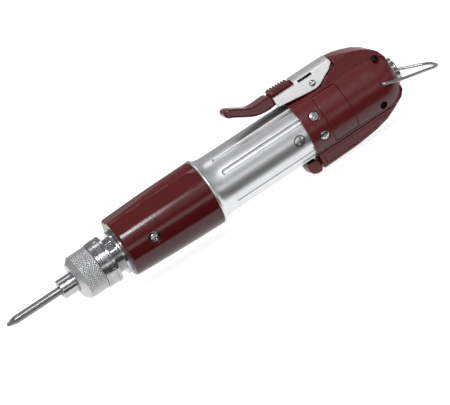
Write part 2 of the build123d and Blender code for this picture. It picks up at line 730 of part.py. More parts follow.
# ================================================================== lower cover, selector knob and switch
with BuildPart() as keel_cover:
    add(keel.part)
    with BuildSketch(Plane.XY.offset(KEEL_TOP - 0.1)):
        with Locations((204, 0)):
            Rectangle(70, 40)
    extrude(amount=10, mode=Mode.SUBTRACT)
    with BuildSketch(across(174.0)):
        with BuildLine():
            Polyline((-10.6, -14.0), (-7.3, -22.6), (-6.4, -23.6), (6.4, -23.6), (7.3, -22.6), (10.6, -14.0), close=True)
        make_face()
    extrude(amount=22.0, mode=Mode.SUBTRACT)
    with BuildSketch(SIDE_BODY):
        with BuildLine():
            Polyline((165, 0), (165, HOUSE_R + 0.06), (240, HOUSE_R + 0.06), (240, 0), close=True)
        make_face()
    revolve(axis=BODY_AXIS, mode=Mode.SUBTRACT)
    # the tail above the sloping bottom is cut square, and the floor there is kept
    with BuildSketch(across(171.0)):
        with Locations((0, -21.6)):
            Rectangle(9.4, 2.5)
    extrude(amount=4.0, mode=Mode.SUBTRACT)
finish(keel_cover, "keel_cover")

with BuildPart() as selector_knob:
    with BuildSketch(SIDE.offset(-6.2)):
        with Locations((167.1, -22.3)):
            RectangleRounded(9.0, 7.4, 1.6)
    extrude(amount=12.4)
    with BuildSketch(across(171.4)):
        with Locations((0, -21.6)):
            Rectangle(5.0, 2.1)
    extrude(amount=6.4)
finish(selector_knob, "selector_knob")

with BuildPart() as selector_switch:
    with BuildSketch(across(178.2)):
        with Locations((0, -21.35)):
            Rectangle(10.4, 4.1)
    extrude(amount=12.0)
finish(selector_switch, "selector_switch")

# ================================================================== start lever, bracket and switch
with BuildPart() as start_lever:
    with BuildSketch(SIDE.offset(-LEVER_HALF)):
        with BuildLine():
            Polyline((136.0, 33.9), (136.3, 35.7), (137.6, 36.8), (139.4, 36.8), (141.6, 36.0), (146.4, 33.3), (150.5, 30.9),
                     (153.8, 30.0), (158.6, 30.0), (166.0, 30.3), (166.0, 23.2), (163.0, 22.6), (159.8, 22.6), (156.5, 22.9),
                     (151.7, 24.2), (146.4, 27.4), (140.4, 31.2), (137.4, 32.3), close=True)
        make_face()
    extrude(amount=2 * LEVER_HALF)
    with BuildSketch(SIDE.offset(-CHEEK_IN)):
        with BuildLine():
            Polyline((166.0, 23.2), (166.0, 26.9), (180.6, 26.9), (180.6, 26.4), (186.2, 26.4), (186.2, 23.2), close=True)
        make_face()
    extrude(amount=2 * CHEEK_IN)
    with BuildSketch(SIDE.offset(-6.8)):
        with BuildLine():
            Polyline((166.0, 26.0), (166.0, 28.6), (180.6, 28.6), (180.6, 26.0), close=True)
        make_face()
    extrude(amount=13.6)
finish(start_lever, "start_lever")

with BuildPart() as lever_insert:
    with BuildSketch(SIDE.offset(-5.6)):
        with BuildLine():
            Polyline((166.2, 28.6), (166.2, 30.6), (168.0, 31.6), (180.2, 31.6), (180.2, 28.6), close=True)
        make_face()
    extrude(amount=11.2)
    with BuildSketch(Plane.XY.offset(31.0)):
        with Locations(*[(169.6 + 2.2 * k, 0) for k in range(5)]):
            Rectangle(0.9, 9.4)
    extrude(amount=1.0, mode=Mode.SUBTRACT)
finish(lever_insert, "lever_insert")

with BuildPart() as lever_bracket:
    with BuildSketch(across(165.5)):
        with BuildLine():
            l1 = Polyline((-CHEEK_OUT, 28.2), (-CHEEK_OUT, 17.0), (-CHEEK_IN, 17.0), (-CHEEK_IN, 27.2))
            ThreePointArc((-CHEEK_IN, 27.2), (0, 29.9), (CHEEK_IN, 27.2))
            Polyline((CHEEK_IN, 27.2), (CHEEK_IN, 17.0), (CHEEK_OUT, 17.0), (CHEEK_OUT, 28.2))
            ThreePointArc((CHEEK_OUT, 28.2), (0, 31.3), (-CHEEK_OUT, 28.2))
        make_face()
    extrude(amount=41.5)
    with BuildSketch(SIDE.offset(-12)):
        with BuildLine():
            Polyline((165.5, 22.1), (165.5, 28.2), (181.0, 28.2), (181.0, 34), (207.0, 34), (207.0, 24.9), (200.0, 22.9),
                     (194.3, 19.4), (190.9, 19.0), (185.0, 19.5), close=True)
        make_face()
    extrude(amount=24, mode=Mode.INTERSECT)
    with BuildSketch(SIDE.offset(-12)):
        with Locations((PIN_X, PIN_Z)):
            Circle(PIN_R + 0.05)
    extrude(amount=24, mode=Mode.SUBTRACT)
finish(lever_bracket, "lever_bracket")

with BuildPart() as lever_pin:
    with BuildSketch(SIDE.offset(-10.2)):
        with Locations((PIN_X, PIN_Z)):
            Circle(PIN_R)
    extrude(amount=20.4)
finish(lever_pin, "lever_pin")

with BuildPart() as start_switch:
    with BuildSketch(SIDE.offset(-3.2)):
        with BuildLine():
            Polyline((175.0, 15.9), (175.0, 17.8), (185.0, 17.8), (185.0, 12.0), (176.0, 12.0), (176.0, 15.9), close=True)
        make_face()
    extrude(amount=6.4)
    with BuildSketch(Plane.XY.offset(13.6)):
        with Locations((178.0, 0)):
            Circle(1.25)
    extrude(amount=6.0, mode=Mode.SUBTRACT)
finish(start_switch, "start_switch")

with BuildPart() as switch_plunger:
    with BuildSketch(Plane.XY.offset(15.0)):
        with Locations((178.0, 0)):
            Circle(1.15)
    extrude(amount=8.0)
finish(switch_plunger, "switch_plunger")

# ================================================================== board, cord inlet and hanger bail
with BuildPart() as circuit_board:
    with BuildSketch(Plane.XY.offset(-1.6)):
        with Locations((204.5, 0)):
            Rectangle(32.0, 27.0)
    extrude(amount=1.6)
    with BuildSketch(Plane.XY):
        with Locations((194.0, 6.0), (194.0, -6.0)):
            Circle(3.6)
    extrude(amount=8.0)
    with BuildSketch(Plane.XY):
        with Locations((208.0, 0.0)):
            Rectangle(12.0, 10.0)
    extrude(amount=4.5)
finish(circuit_board, "circuit_board")

with BuildPart() as inlet_ring:
    with BuildSketch(SIDE):
        with BuildLine():
            Polyline((HOUSE_X1 + 0.1, 7.1), (HOUSE_X1 + 0.1, 8.2), (240.1, 8.2), (240.5, 7.8), (240.5, 7.1), close=True)
        make_face()
    revolve(axis=Axis.X)
finish(inlet_ring, "inlet_ring")

with BuildPart() as inlet_insert:
    with BuildSketch(SIDE):
        with BuildLine():
            Polyline((226.0, 0), (226.0, 7.05), (239.6, 7.05), (239.6, 5.2), (230.0, 5.2), (230.0, 0), close=True)
        make_face()
    revolve(axis=Axis.X)
    with BuildSketch(across(230.0)):
        with PolarLocations(2.6, 3, start_angle=90):
            Circle(0.6)
    extrude(amount=4.6)
finish(inlet_insert, "inlet_insert")

c, s = math.cos(math.radians(BAIL_TILT)), math.sin(math.radians(BAIL_TILT))
BAIL_PLANE = Plane(origin=(BAIL_X, 0, BAIL_Z), x_dir=(c, 0, s), z_dir=(-s, 0, c))
with BuildPart() as hanger_bail:
    with BuildLine(BAIL_PLANE) as bail_path:
        FilletPolyline((0, -17.2), (0, -21.4), (15, -20.4), (29.0, -13.6), (40.2, -9.2), (40.2, 9.2), (29.0, 13.6),
                       (15, 20.4), (0, 21.4), (0, 17.2), radius=(1.6, 16.0, 30.0, 7.4, 7.4, 30.0, 16.0, 1.6))
    with BuildSketch(Plane(bail_path.line @ 0, z_dir=bail_path.line % 0)):
        Circle(WIRE_R)
    sweep()
finish(hanger_bail, "hanger_bail")
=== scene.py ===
import bpy, json, math
import numpy as np
from mathutils import Matrix, Vector


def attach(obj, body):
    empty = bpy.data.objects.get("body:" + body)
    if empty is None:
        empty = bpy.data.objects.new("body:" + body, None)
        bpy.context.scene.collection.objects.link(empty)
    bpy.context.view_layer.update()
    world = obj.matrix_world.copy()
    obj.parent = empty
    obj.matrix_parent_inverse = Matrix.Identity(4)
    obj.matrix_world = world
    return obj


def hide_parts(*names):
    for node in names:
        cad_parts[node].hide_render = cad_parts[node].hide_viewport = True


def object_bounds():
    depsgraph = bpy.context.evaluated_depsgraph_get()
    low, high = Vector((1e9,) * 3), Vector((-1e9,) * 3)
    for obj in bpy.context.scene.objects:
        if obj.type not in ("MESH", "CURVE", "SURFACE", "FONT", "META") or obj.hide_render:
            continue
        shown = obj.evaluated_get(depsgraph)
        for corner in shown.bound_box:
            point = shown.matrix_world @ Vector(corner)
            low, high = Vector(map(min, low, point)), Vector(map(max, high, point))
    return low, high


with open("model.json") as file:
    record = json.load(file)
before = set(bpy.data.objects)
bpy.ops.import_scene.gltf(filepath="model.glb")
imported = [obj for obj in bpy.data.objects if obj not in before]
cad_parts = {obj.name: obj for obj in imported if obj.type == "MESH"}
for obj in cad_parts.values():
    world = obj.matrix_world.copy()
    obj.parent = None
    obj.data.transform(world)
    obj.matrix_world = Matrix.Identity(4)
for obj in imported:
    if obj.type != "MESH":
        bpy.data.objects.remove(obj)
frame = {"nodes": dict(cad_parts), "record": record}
nodes = frame["nodes"]
cad_box = [list(map(float, c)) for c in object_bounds()]
MM = 0.001

# ------------------------------------------------------------------ materials


def shader(name, color, metallic=0.0, rough=0.4, coat=0.0, coat_rough=0.1, spec=0.5,
           tint=None, tint_scale=60.0, tint_amount=0.35, rough_spread=0.12,
           grain=(900.0, 0.06, 0.00004), stretch=(1.0, 1.0, 1.0), wear=None, aniso=0.0):
    """A procedural finish: base colour mottled by a slow noise, roughness varied by a second
    one, and a fine bump whose stretch gives brushed, turned or moulded grain."""
    m = bpy.data.materials.new(name)
    m.use_nodes = True
    t = m.node_tree
    t.nodes.clear()
    out = t.nodes.new("ShaderNodeOutputMaterial")
    p = t.nodes.new("ShaderNodeBsdfPrincipled")
    t.links.new(p.outputs[0], out.inputs[0])
    p.inputs["Metallic"].default_value = metallic
    p.inputs["Coat Weight"].default_value = coat
    p.inputs["Coat Roughness"].default_value = coat_rough
    p.inputs["Specular IOR Level"].default_value = spec
    p.inputs["Anisotropic"].default_value = aniso
    co = t.nodes.new("ShaderNodeTexCoord")
    mp = t.nodes.new("ShaderNodeMapping")
    mp.inputs["Scale"].default_value = stretch
    t.links.new(co.outputs["Object"], mp.inputs["Vector"])
    big = t.nodes.new("ShaderNodeTexNoise")
    big.inputs["Scale"].default_value = tint_scale
    big.inputs["Detail"].default_value = 4.0
    t.links.new(mp.outputs[0], big.inputs["Vector"])
    mix = t.nodes.new("ShaderNodeMix")
    mix.data_type = "RGBA"
    tint = tint or tuple(c * 0.72 for c in color)
    mix.inputs[6].default_value = (*color, 1)
    mix.inputs[7].default_value = (*tint, 1)
    ramp = t.nodes.new("ShaderNodeMapRange")
    ramp.inputs["From Min"].default_value = 0.35
    ramp.inputs["From Max"].default_value = 0.75
    ramp.inputs["To Max"].default_value = tint_amount
    t.links.new(big.outputs["Fac"], ramp.inputs["Value"])
    t.links.new(ramp.outputs[0], mix.inputs[0])
    last = mix.outputs[2]
    if wear:
        geo = t.nodes.new("ShaderNodeNewGeometry")
        w = t.nodes.new("ShaderNodeMapRange")
        w.inputs["From Min"].default_value = wear[1]
        w.inputs["From Max"].default_value = wear[2]
        w.inputs["To Max"].default_value = wear[3]
        t.links.new(geo.outputs["Pointiness"], w.inputs["Value"])
        mw = t.nodes.new("ShaderNodeMix")
        mw.data_type = "RGBA"
        mw.inputs[7].default_value = (*wear[0], 1)
        t.links.new(w.outputs[0], mw.inputs[0])
        t.links.new(last, mw.inputs[6])
        last = mw.outputs[2]
    t.links.new(last, p.inputs["Base Color"])
    mid = t.nodes.new("ShaderNodeTexNoise")
    mid.inputs["Scale"].default_value = tint_scale * 4.3
    mid.inputs["Detail"].default_value = 6.0
    t.links.new(mp.outputs[0], mid.inputs["Vector"])
    rr = t.nodes.new("ShaderNodeMapRange")
    rr.inputs["From Min"].default_value = 0.3
    rr.inputs["From Max"].default_value = 0.7
    rr.inputs["To Min"].default_value = max(0.02, rough - rough_spread / 2)
    rr.inputs["To Max"].default_value = rough + rough_spread / 2
    t.links.new(mid.outputs["Fac"], rr.inputs["Value"])
    t.links.new(rr.outputs[0], p.inputs["Roughness"])
    fine = t.nodes.new("ShaderNodeTexNoise")
    fine.inputs["Scale"].default_value = grain[0]
    fine.inputs["Detail"].default_value = 3.0
    t.links.new(mp.outputs[0], fine.inputs["Vector"])
    bump = t.nodes.new("ShaderNodeBump")
    bump.inputs["Strength"].default_value = grain[1]
    bump.inputs["Distance"].default_value = grain[2]
    t.links.new(fine.outputs["Fac"], bump.inputs["Height"])
    t.links.new(bump.outputs[0], p.inputs["Normal"])
    return m


BURG = (0.080, 0.0036, 0.0048)
BURG_T = (0.060, 0.0025, 0.0034)
M = {}
M["burgundy"] = shader("burgundy_moulding", BURG, rough=0.29, coat=0.0, tint=BURG_T, spec=0.5,
                       grain=(1500.0, 0.04, 0.00002), rough_spread=0.06)
M["burgundy_gloss"] = shader("burgundy_gloss", (0.056, 0.0018, 0.0026), rough=0.17, spec=0.52, tint=(0.042, 0.0013, 0.0019),
                             grain=(1500.0, 0.03, 0.00002), rough_spread=0.05)
M["burgundy_soft"] = shader("burgundy_satin", BURG, rough=0.42, coat=0.15, coat_rough=0.3, tint=BURG_T,
                            grain=(1500.0, 0.14, 0.00003))
M["aluminium"] = shader("satin_aluminium", (0.77, 0.78, 0.79), metallic=1.0, rough=0.34, tint=(0.66, 0.67, 0.68),
                        grain=(260.0, 0.10, 0.00003), stretch=(22.0, 1.0, 1.0), tint_scale=25.0, rough_spread=0.08)
M["chrome"] = shader("bright_plated_steel", (0.50, 0.505, 0.515), metallic=1.0, rough=0.19, tint=(0.40, 0.405, 0.415),
                     grain=(600.0, 0.08, 0.00003), rough_spread=0.08)
M["knurl"] = shader("knurled_plated_steel", (0.56, 0.565, 0.57), metallic=1.0, rough=0.40, tint=(0.48, 0.485, 0.49),
                    grain=(900.0, 0.05, 0.00002), tint_amount=0.15)
M["steel"] = shader("ground_steel", (0.52, 0.52, 0.54), metallic=1.0, rough=0.30, tint=(0.42, 0.42, 0.44),
                    grain=(300.0, 0.12, 0.00003), stretch=(14.0, 1.0, 1.0))
M["tool"] = shader("dark_tool_steel", (0.235, 0.23, 0.235), metallic=1.0, rough=0.34, tint=(0.16, 0.155, 0.16),
                   grain=(500.0, 0.05, 0.00002))
M["dark_screw"] = shader("blackened_steel", (0.05, 0.047, 0.05), metallic=0.9, rough=0.38, tint=(0.03, 0.03, 0.03))
M["bracket"] = shader("satin_sheet_steel", (0.86, 0.86, 0.865), metallic=1.0, rough=0.36, tint=(0.74, 0.74, 0.75),
                      grain=(320.0, 0.12, 0.00003), stretch=(1.0, 14.0, 14.0))
M["wire"] = shader("spring_wire", (0.40, 0.39, 0.38), metallic=1.0, rough=0.30, tint=(0.28, 0.275, 0.27))
M["black"] = shader("black_resin", (0.018, 0.018, 0.02), rough=0.42, tint=(0.01, 0.01, 0.01))
M["copper"] = shader("copper", (0.72, 0.33, 0.19), metallic=1.0, rough=0.3, tint=(0.5, 0.2, 0.11))
M["brass"] = shader("brass", (0.74, 0.56, 0.26), metallic=1.0, rough=0.28, tint=(0.55, 0.4, 0.17))
M["bronze"] = shader("sintered_bronze", (0.5, 0.34, 0.17), metallic=1.0, rough=0.45, tint=(0.36, 0.23, 0.1),
                     grain=(2400.0, 0.3, 0.00005))
M["magnet"] = shader("ferrite", (0.035, 0.034, 0.036), rough=0.6, grain=(2200.0, 0.3, 0.00005))
M["carbon"] = shader("carbon", (0.03, 0.03, 0.032), rough=0.5, grain=(2200.0, 0.25, 0.00005))
M["zinc"] = shader("die_cast_zinc", (0.42, 0.42, 0.43), metallic=1.0, rough=0.42, tint=(0.33, 0.33, 0.34),
                   grain=(1300.0, 0.2, 0.00005))
M["board"] = shader("circuit_laminate", (0.015, 0.11, 0.05), rough=0.35, coat=0.3, tint=(0.01, 0.07, 0.035))
M["red_fibre"] = shader("varnished_fibre", (0.3, 0.06, 0.03), rough=0.5)

PICK = {
    "tool_steel": "tool", "hard_steel": "steel", "polished_steel": "chrome", "knurled_steel": "knurl",
    "ring_steel": "chrome", "neck_steel": "chrome", "screw_steel": "chrome", "dark_screw": "dark_screw",
    "barrel_aluminium": "aluminium", "bracket_steel": "bracket", "pin_steel": "chrome",
    "inlet_chrome": "chrome", "wire_steel": "wire", "black_resin": "black",
}
slots = {s["node"]: s["material_slot"] for s in frame["record"]["subparts"]}
for n, o in nodes.items():
    s = slots.get(n, "")
    key = PICK.get(s) or ("burgundy" if s.startswith("burgundy") else "steel")
    for w in ("copper", "brass", "bronze", "magnet", "carbon", "zinc", "board"):
        if w in s:
            key = w
    o.data.materials.clear()
    o.data.materials.append(M[key])

# ------------------------------------------------------------------ mesh making
# Lengths below are millimetres; make() turns them into metres.

BODY_Z = 1.25


def make(name, verts, faces, body, mat, replaces=(), normals=None, sharp=None):
    me = bpy.data.meshes.new(name)
    v = np.asarray(verts, float) * MM
    f = np.asarray(faces)
    me.vertices.add(len(v))
    me.vertices.foreach_set("co", v.ravel())
    if f.dtype != object and f.ndim == 2:
        n = f.shape[1]
        me.loops.add(f.size)
        me.loops.foreach_set("vertex_index", f.ravel().astype(np.int32))
        me.polygons.add(len(f))
        me.polygons.foreach_set("loop_start", np.arange(0, f.size, n, dtype=np.int32))
        me.polygons.foreach_set("loop_total", np.full(len(f), n, np.int32))
    me.update(calc_edges=True)
    me.validate()
    me.polygons.foreach_set("use_smooth", np.ones(len(me.polygons), bool))
    if sharp is not None:
        me.set_sharp_from_angle(angle=math.radians(sharp))
    if normals is not None:
        me.normals_split_custom_set_from_vertices([tuple(q) for q in normals])
    o = bpy.data.objects.new(name, me)
    bpy.context.scene.collection.objects.link(o)
    me.materials.append(M[mat])
    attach(o, body)
    if replaces:
        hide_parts(*replaces)
    return o


def join(parts):
    vs, fs, k = [], [], 0
    for v, f in parts:
        vs.append(np.asarray(v, float))
        fs.append(np.asarray(f) + k)
        k += len(v)
    return np.vstack(vs), np.vstack(fs)


def smin(a, b, k):
    h = np.clip(0.5 + 0.5 * (b - a) / k, 0, 1)
    return b + (a - b) * h - k * h * (1 - h)


def smax(a, b, k):
    return -smin(-a, -b, k)


def poly_sd(pts, U, V):
    """Signed distance to a closed polygon, negative inside."""
    pts = np.asarray(pts, float)
    d = np.full(np.broadcast(U, V).shape, 1e9)
    s = np.ones(d.shape)
    n = len(pts)
    for i in range(n):
        a, b = pts[i], pts[(i + 1) % n]
        e = b - a
        wx, wy = U - a[0], V - a[1]
        t = np.clip((wx * e[0] + wy * e[1]) / max(e @ e, 1e-12), 0, 1)
        dx, dy = wx - e[0] * t, wy - e[1] * t
        d = np.minimum(d, dx * dx + dy * dy)
        c1, c2 = V >= a[1], V < b[1]
        c3 = e[0] * wy > e[1] * wx
        flip = (c1 & c2 & c3) | (~c1 & ~c2 & ~c3)
        s = np.where(flip, -s, s)
    return s * np.sqrt(d)


def round_poly(pts, times=2, keep=()):
    """Corner cutting: turns a polygon's corners into short curves."""
    pts = np.asarray(pts, float)
    for _ in range(times):
        nxt = np.roll(pts, -1, 0)
        q = 0.75 * pts + 0.25 * nxt
        r = 0.25 * pts + 0.75 * nxt
        pts = np.stack([q, r], 1).reshape(-1, 2)
    return pts


def ngrad(f, p, e=0.02):
    g = np.empty_like(p)
    for i in range(3):
        a, b = p.copy(), p.copy()
        a[:, i] += e
        b[:, i] -= e
        g[:, i] = (f(a[:, 0], a[:, 1], a[:, 2]) - f(b[:, 0], b[:, 1], b[:, 2])) / (2 * e)
    return g


CORNERS = [(i, j, k) for i in (0, 1) for j in (0, 1) for k in (0, 1)]
EDGES = [(a, b) for a in CORNERS for b in CORNERS if sum(abs(x - y) for x, y in zip(a, b)) == 1 and a < b]


def skin(f, lo, hi, h, newton=3):
    """The zero surface of f over a box, as quads: one point in each cell that the surface crosses."""
    lo = np.array(lo, float)
    n = np.ceil((np.array(hi, float) - lo) / h).astype(int) + 1
    ax = [lo[i] + h * np.arange(n[i]) for i in range(3)]
    val = np.empty(tuple(n), np.float32)
    for i in range(0, n[0], 12):
        val[i:i + 12] = f(ax[0][i:i + 12, None, None], ax[1][None, :, None], ax[2][None, None, :])
    s = val < 0
    m = tuple(n - 1)
    count = np.zeros(m, np.int8)
    for i, j, k in CORNERS:
        count += s[i:i + m[0], j:j + m[1], k:k + m[2]]
    act = np.argwhere((count > 0) & (count < 8))
    index = np.full(m, -1, np.int64)
    index[act[:, 0], act[:, 1], act[:, 2]] = np.arange(len(act))
    pos = np.zeros((len(act), 3))
    hits = np.zeros(len(act))
    cv = {c: val[act[:, 0] + c[0], act[:, 1] + c[1], act[:, 2] + c[2]].astype(float) for c in CORNERS}
    for a, b in EDGES:
        va, vb = cv[a], cv[b]
        x = (va < 0) != (vb < 0)
        t = np.where(x, va / np.where(x, va - vb, 1), 0)
        p = np.array(a)[None] + t[:, None] * (np.array(b) - np.array(a))[None]
        pos += np.where(x[:, None], p, 0)
        hits += x
    p = lo + h * (act + pos / hits[:, None])
    faces = []
    for axis in range(3):
        u, w = (axis + 1) % 3, (axis + 2) % 3
        a = [slice(None)] * 3
        b = [slice(None)] * 3
        a[axis], b[axis] = slice(0, -1), slice(1, None)
        sa, sb = s[tuple(a)], s[tuple(b)]
        e = np.argwhere(sa != sb)
        ok = (e[:, u] > 0) & (e[:, u] < n[u] - 1) & (e[:, w] > 0) & (e[:, w] < n[w] - 1)
        e = e[ok]
        flip = sa[e[:, 0], e[:, 1], e[:, 2]]
        q = []
        for du, dw in ((-1, -1), (0, -1), (0, 0), (-1, 0)):
            c = e.copy()
            c[:, u] += du
            c[:, w] += dw
            q.append(index[c[:, 0], c[:, 1], c[:, 2]])
        q = np.stack(q, 1)
        q[~flip] = q[~flip][:, ::-1]
        faces.append(q)
    faces = np.vstack(faces)
    start = p.copy()
    for _ in range(newton):
        d = f(p[:, 0], p[:, 1], p[:, 2])
        g = ngrad(f, p)
        step = (d / np.maximum((g * g).sum(1), 0.05))[:, None] * g
        ln = np.linalg.norm(step, axis=1, keepdims=True)
        p = p - step * np.minimum(1, 0.4 * h / np.maximum(ln, 1e-9))
        off = p - start
        ln = np.linalg.norm(off, axis=1, keepdims=True)
        p = start + off * np.minimum(1, 0.9 * h / np.maximum(ln, 1e-9))
    g = ngrad(f, p, 0.04)
    g /= np.maximum(np.linalg.norm(g, axis=1, keepdims=True), 1e-9)
    return p, faces, g


def lathe(rows, n=160, bump=None, centre=(0.0, 0.0)):
    """Rows of (x, r) turned about the spindle direction, closed on itself; bump(x, angle, row) adds to r.
    centre is the (y, z) of the axis."""
    rows = np.asarray(rows, float)
    a = np.linspace(0, 2 * math.pi, n, endpoint=False)
    x = np.repeat(rows[:, :1], n, 1)
    r = np.repeat(rows[:, 1:2], n, 1)
    A = np.repeat(a[None], len(rows), 0)
    if bump is not None:
        x, r = bump(x, r, A)
    y = centre[0] + r * np.cos(A)
    z = centre[1] + r * np.sin(A)
    v = np.stack([x, y, z], 2).reshape(-1, 3)
    k = len(rows)
    i = np.arange(k)[:, None] * n
    j = np.arange(n)[None]
    j2 = (j + 1) % n
    i2 = ((np.arange(k) + 1) % k)[:, None] * n
    f = np.stack([i + j, i2 + j, i2 + j2, i + j2], 2).reshape(-1, 4)
    return v, f


def soften(pts, r=0.3, steps=3):
    """A closed profile with each corner cut by a short arc."""
    pts = [np.array(p, float) for p in pts]
    out = []
    m = len(pts)
    for i in range(m):
        a, b, c = pts[i - 1], pts[i], pts[(i + 1) % m]
        ra = r if not isinstance(r, (list, tuple)) else r[i]
        u, w = a - b, c - b
        lu, lw = np.linalg.norm(u), np.linalg.norm(w)
        if lu < 1e-6 or lw < 1e-6 or ra <= 0:
            out.append(b)
            continue
        k = min(ra, 0.45 * lu, 0.45 * lw)
        p0, p2 = b + u / lu * k, b + w / lw * k
        for s in range(steps + 1):
            t = s / steps
            out.append((1 - t) ** 2 * p0 + 2 * t * (1 - t) * b + t * t * p2)
    return np.array(out)


def tube(path, radius, n=14, caps=True):
    """A round wire along a smooth open path."""
    p = np.asarray(path, float)
    t = np.gradient(p, axis=0)
    t /= np.linalg.norm(t, axis=1, keepdims=True)
    ref = np.cross(t[0], [0, 0, 1.0])
    if np.linalg.norm(ref) < 1e-3:
        ref = np.cross(t[0], [1.0, 0, 0])
    ref /= np.linalg.norm(ref)
    v = []
    for i in range(len(p)):
        ref = ref - t[i] * (ref @ t[i])
        ref /= np.linalg.norm(ref)
        b = np.cross(t[i], ref)
        for k in range(n):
            a = 2 * math.pi * k / n
            v.append(p[i] + radius * (math.cos(a) * ref + math.sin(a) * b))
    f = []
    for i in range(len(p) - 1):
        for k in range(n):
            k2 = (k + 1) % n
            f.append((i * n + k, i * n + k2, (i + 1) * n + k2, (i + 1) * n + k))
    v.append(p[0])
    v.append(p[-1])
    c0, c1 = len(v) - 2, len(v) - 1
    e = (len(p) - 1) * n
    for k in range(0, n, 2):
        k1, k2 = (k + 1) % n, (k + 2) % n
        f.append((c0, k2, k1, k))
        f.append((c1, e + k, e + k1, e + k2))
    return np.array(v), np.array(f)

# ------------------------------------------------------------------ rear housing, panels and keel

RIDGE_SEC = [(-11.8, 8.0), (-11.8, 15.0), (-9.9, 26.3), (-8.4, 28.6), (-4.0, 30.4), (4.0, 30.4), (8.4, 28.6),
             (9.9, 26.3), (11.8, 15.0), (11.8, 8.0)]
RIDGE_SIDE = [(171.0, 8), (171.0, 19.4), (185, 18.6), (191, 18.5), (194.4, 18.8), (200.3, 22.4), (207.6, 24.4),
              (207.6, 30.3), (209, 29.9), (214.5, 28.4), (220, 26.5), (226, 24.1), (231, 21.1), (234, 18.1),
              (236.2, 13.0), (236.6, 8)]
SADDLE = [(165.0, 19.6), (171.0, 19.4), (185, 18.6), (191, 18.5), (194.4, 18.8), (200.3, 22.4), (207.6, 24.4),
          (207.6, 40), (165.0, 40)]
KEEL_SEC = [(-13.6, -6.0), (-13.6, -8.0), (-12.6, -13.6), (-8.9, -23.4), (-7.2, -25.4), (7.2, -25.4), (8.9, -23.4),
            (12.6, -13.6), (13.6, -8.0), (13.6, -6.0)]
KEEL_SIDE = [(172.0, -6), (172.0, -25.2), (196, -24.4), (211, -22.5), (219.6, -20.4), (226.5, -16.9), (233, -12.9),
             (235.6, -9.4), (235.9, -6)]
LEDGE = -15.2


def radius_at(Y, Z, zc=BODY_Z):
    return np.sqrt(Y * Y + (Z - zc) ** 2)


def body_r(X):
    t = np.clip((X - 223.0) / 14.2, 0, 0.9999)
    return 10.5 + 9.3 * np.sqrt(1 - t * t) - 0.0 * X


def housing_field(X, Y, Z):
    aY = np.abs(Y)
    r = radius_at(Y, Z)
    R = body_r(X)
    slope = np.clip((X - 223.0) / 14.2, 0, 0.96)
    k = np.sqrt(1 - slope ** 2)
    d = smax((r - R) * np.maximum(k, 0.35), X - 237.2, 1.3)
    d = smax(d, 171.0 - X, 0.5)
    ridge = smax(poly_sd(RIDGE_SEC, Y, Z), poly_sd(RIDGE_SIDE, X, Z), 0.35)
    shell = d
    d = smin(d, ridge, 0.25)
    # a fine quirk line where the ridge grows out of the round body
    d = d + 0.34 * np.exp(-(shell ** 2 + ridge ** 2) / 0.30)
    block = smax(smax(aY - 8.3, np.abs(X - 197.4) - 10.2, 0.5), np.abs(Z - 17.8) - 7.8, 0.6)
    d = smin(d, block, 0.15)
    keel = smax(smax(poly_sd(KEEL_SEC, Y, Z), poly_sd(KEEL_SIDE, X, Z), 0.9), LEDGE - Z, 0.35)
    shell = d
    d = smin(d, keel, 0.35)
    d = d + 0.26 * np.exp(-(shell ** 2 + keel ** 2) / 0.28) * (Z < -5)
    # the space inside
    Rin = np.interp(X, [160, 183.2, 183.21, 222.0, 228.5, 233.6], [18.53, 18.53, 17.2, 17.2, 15.2, 11.0])
    inner = np.maximum(r - Rin, X - 233.6)
    attic = smax(aY - 7.2, poly_sd([(209.8, 12), (209.8, 27.0), (220, 24.0), (224.5, 22.0), (224.5, 12)], X, Z), 0.4)
    inner = np.minimum(inner, attic)
    for bx, bz, half in ((230.0, 14.8, 9.4), (220.0, -10.6, 12.4)):
        c = np.sqrt((X - bx) ** 2 + (Z - bz) ** 2)
        inner = np.maximum(inner, -(np.maximum(c - 3.3, aY - half)))
        inner = np.minimum(inner, c - 1.3)
        inner = np.minimum(inner, smax(c - 2.35, (half - 1.4) - aY, 0.2))
    c = np.sqrt(Y * Y + Z * Z)
    inner = np.minimum(inner, np.maximum(c - 7.65, 225.0 - X))
    d = smax(d, -inner, 0.3)
    # the saddle for the lever cheeks
    slot = smax(np.abs(aY - 9.35) - 1.05, -poly_sd(SADDLE, X, Z) * -1.0, 0.2)
    d = smax(d, -slot, 0.3)
    c = np.sqrt((X - 190.9) ** 2 + (Z - 22.9) ** 2)
    d = np.maximum(d, -(c - 1.88))
    c = np.sqrt((X - 178.0) ** 2 + Y * Y)
    d = np.maximum(d, -np.maximum(c - 1.35, 15 - Z))
    c = np.sqrt((X - 224.6) ** 2 + (Z - 1.8) ** 2)
    d = smax(d, -np.maximum(c - 1.02, 16.5 - aY), 0.35)
    # recesses of the four screws by the barrel
    for ang in (20, -20):
        ca, sa = math.cos(math.radians(ang)), math.sin(math.radians(ang))
        t = -aY * sa + (Z - BODY_Z) * ca
        h = aY * ca + (Z - BODY_Z) * sa
        c = np.sqrt((X - 179.6) ** 2 + t * t)
        d = smax(d, -np.maximum(c - 3.3, 18.95 - h), 0.3)
        d = np.maximum(d, -np.maximum(c - 1.4, 16.5 - h))
    # pocket of the side panel
    pocket = np.maximum(18.75 - r, round_box(X - 193.1, Z - 1.65, 8.42, 14.92, 1.7))
    pocket = np.maximum(pocket, 9.0 - aY)
    d = smax(d, -pocket, 0.25)
    return d


def round_box(U, V, a, b, r):
    x, y = np.abs(U) - (a - r), np.abs(V) - (b - r)
    return np.sqrt(np.maximum(x, 0) ** 2 + np.maximum(y, 0) ** 2) + np.minimum(np.maximum(x, y), 0) - r


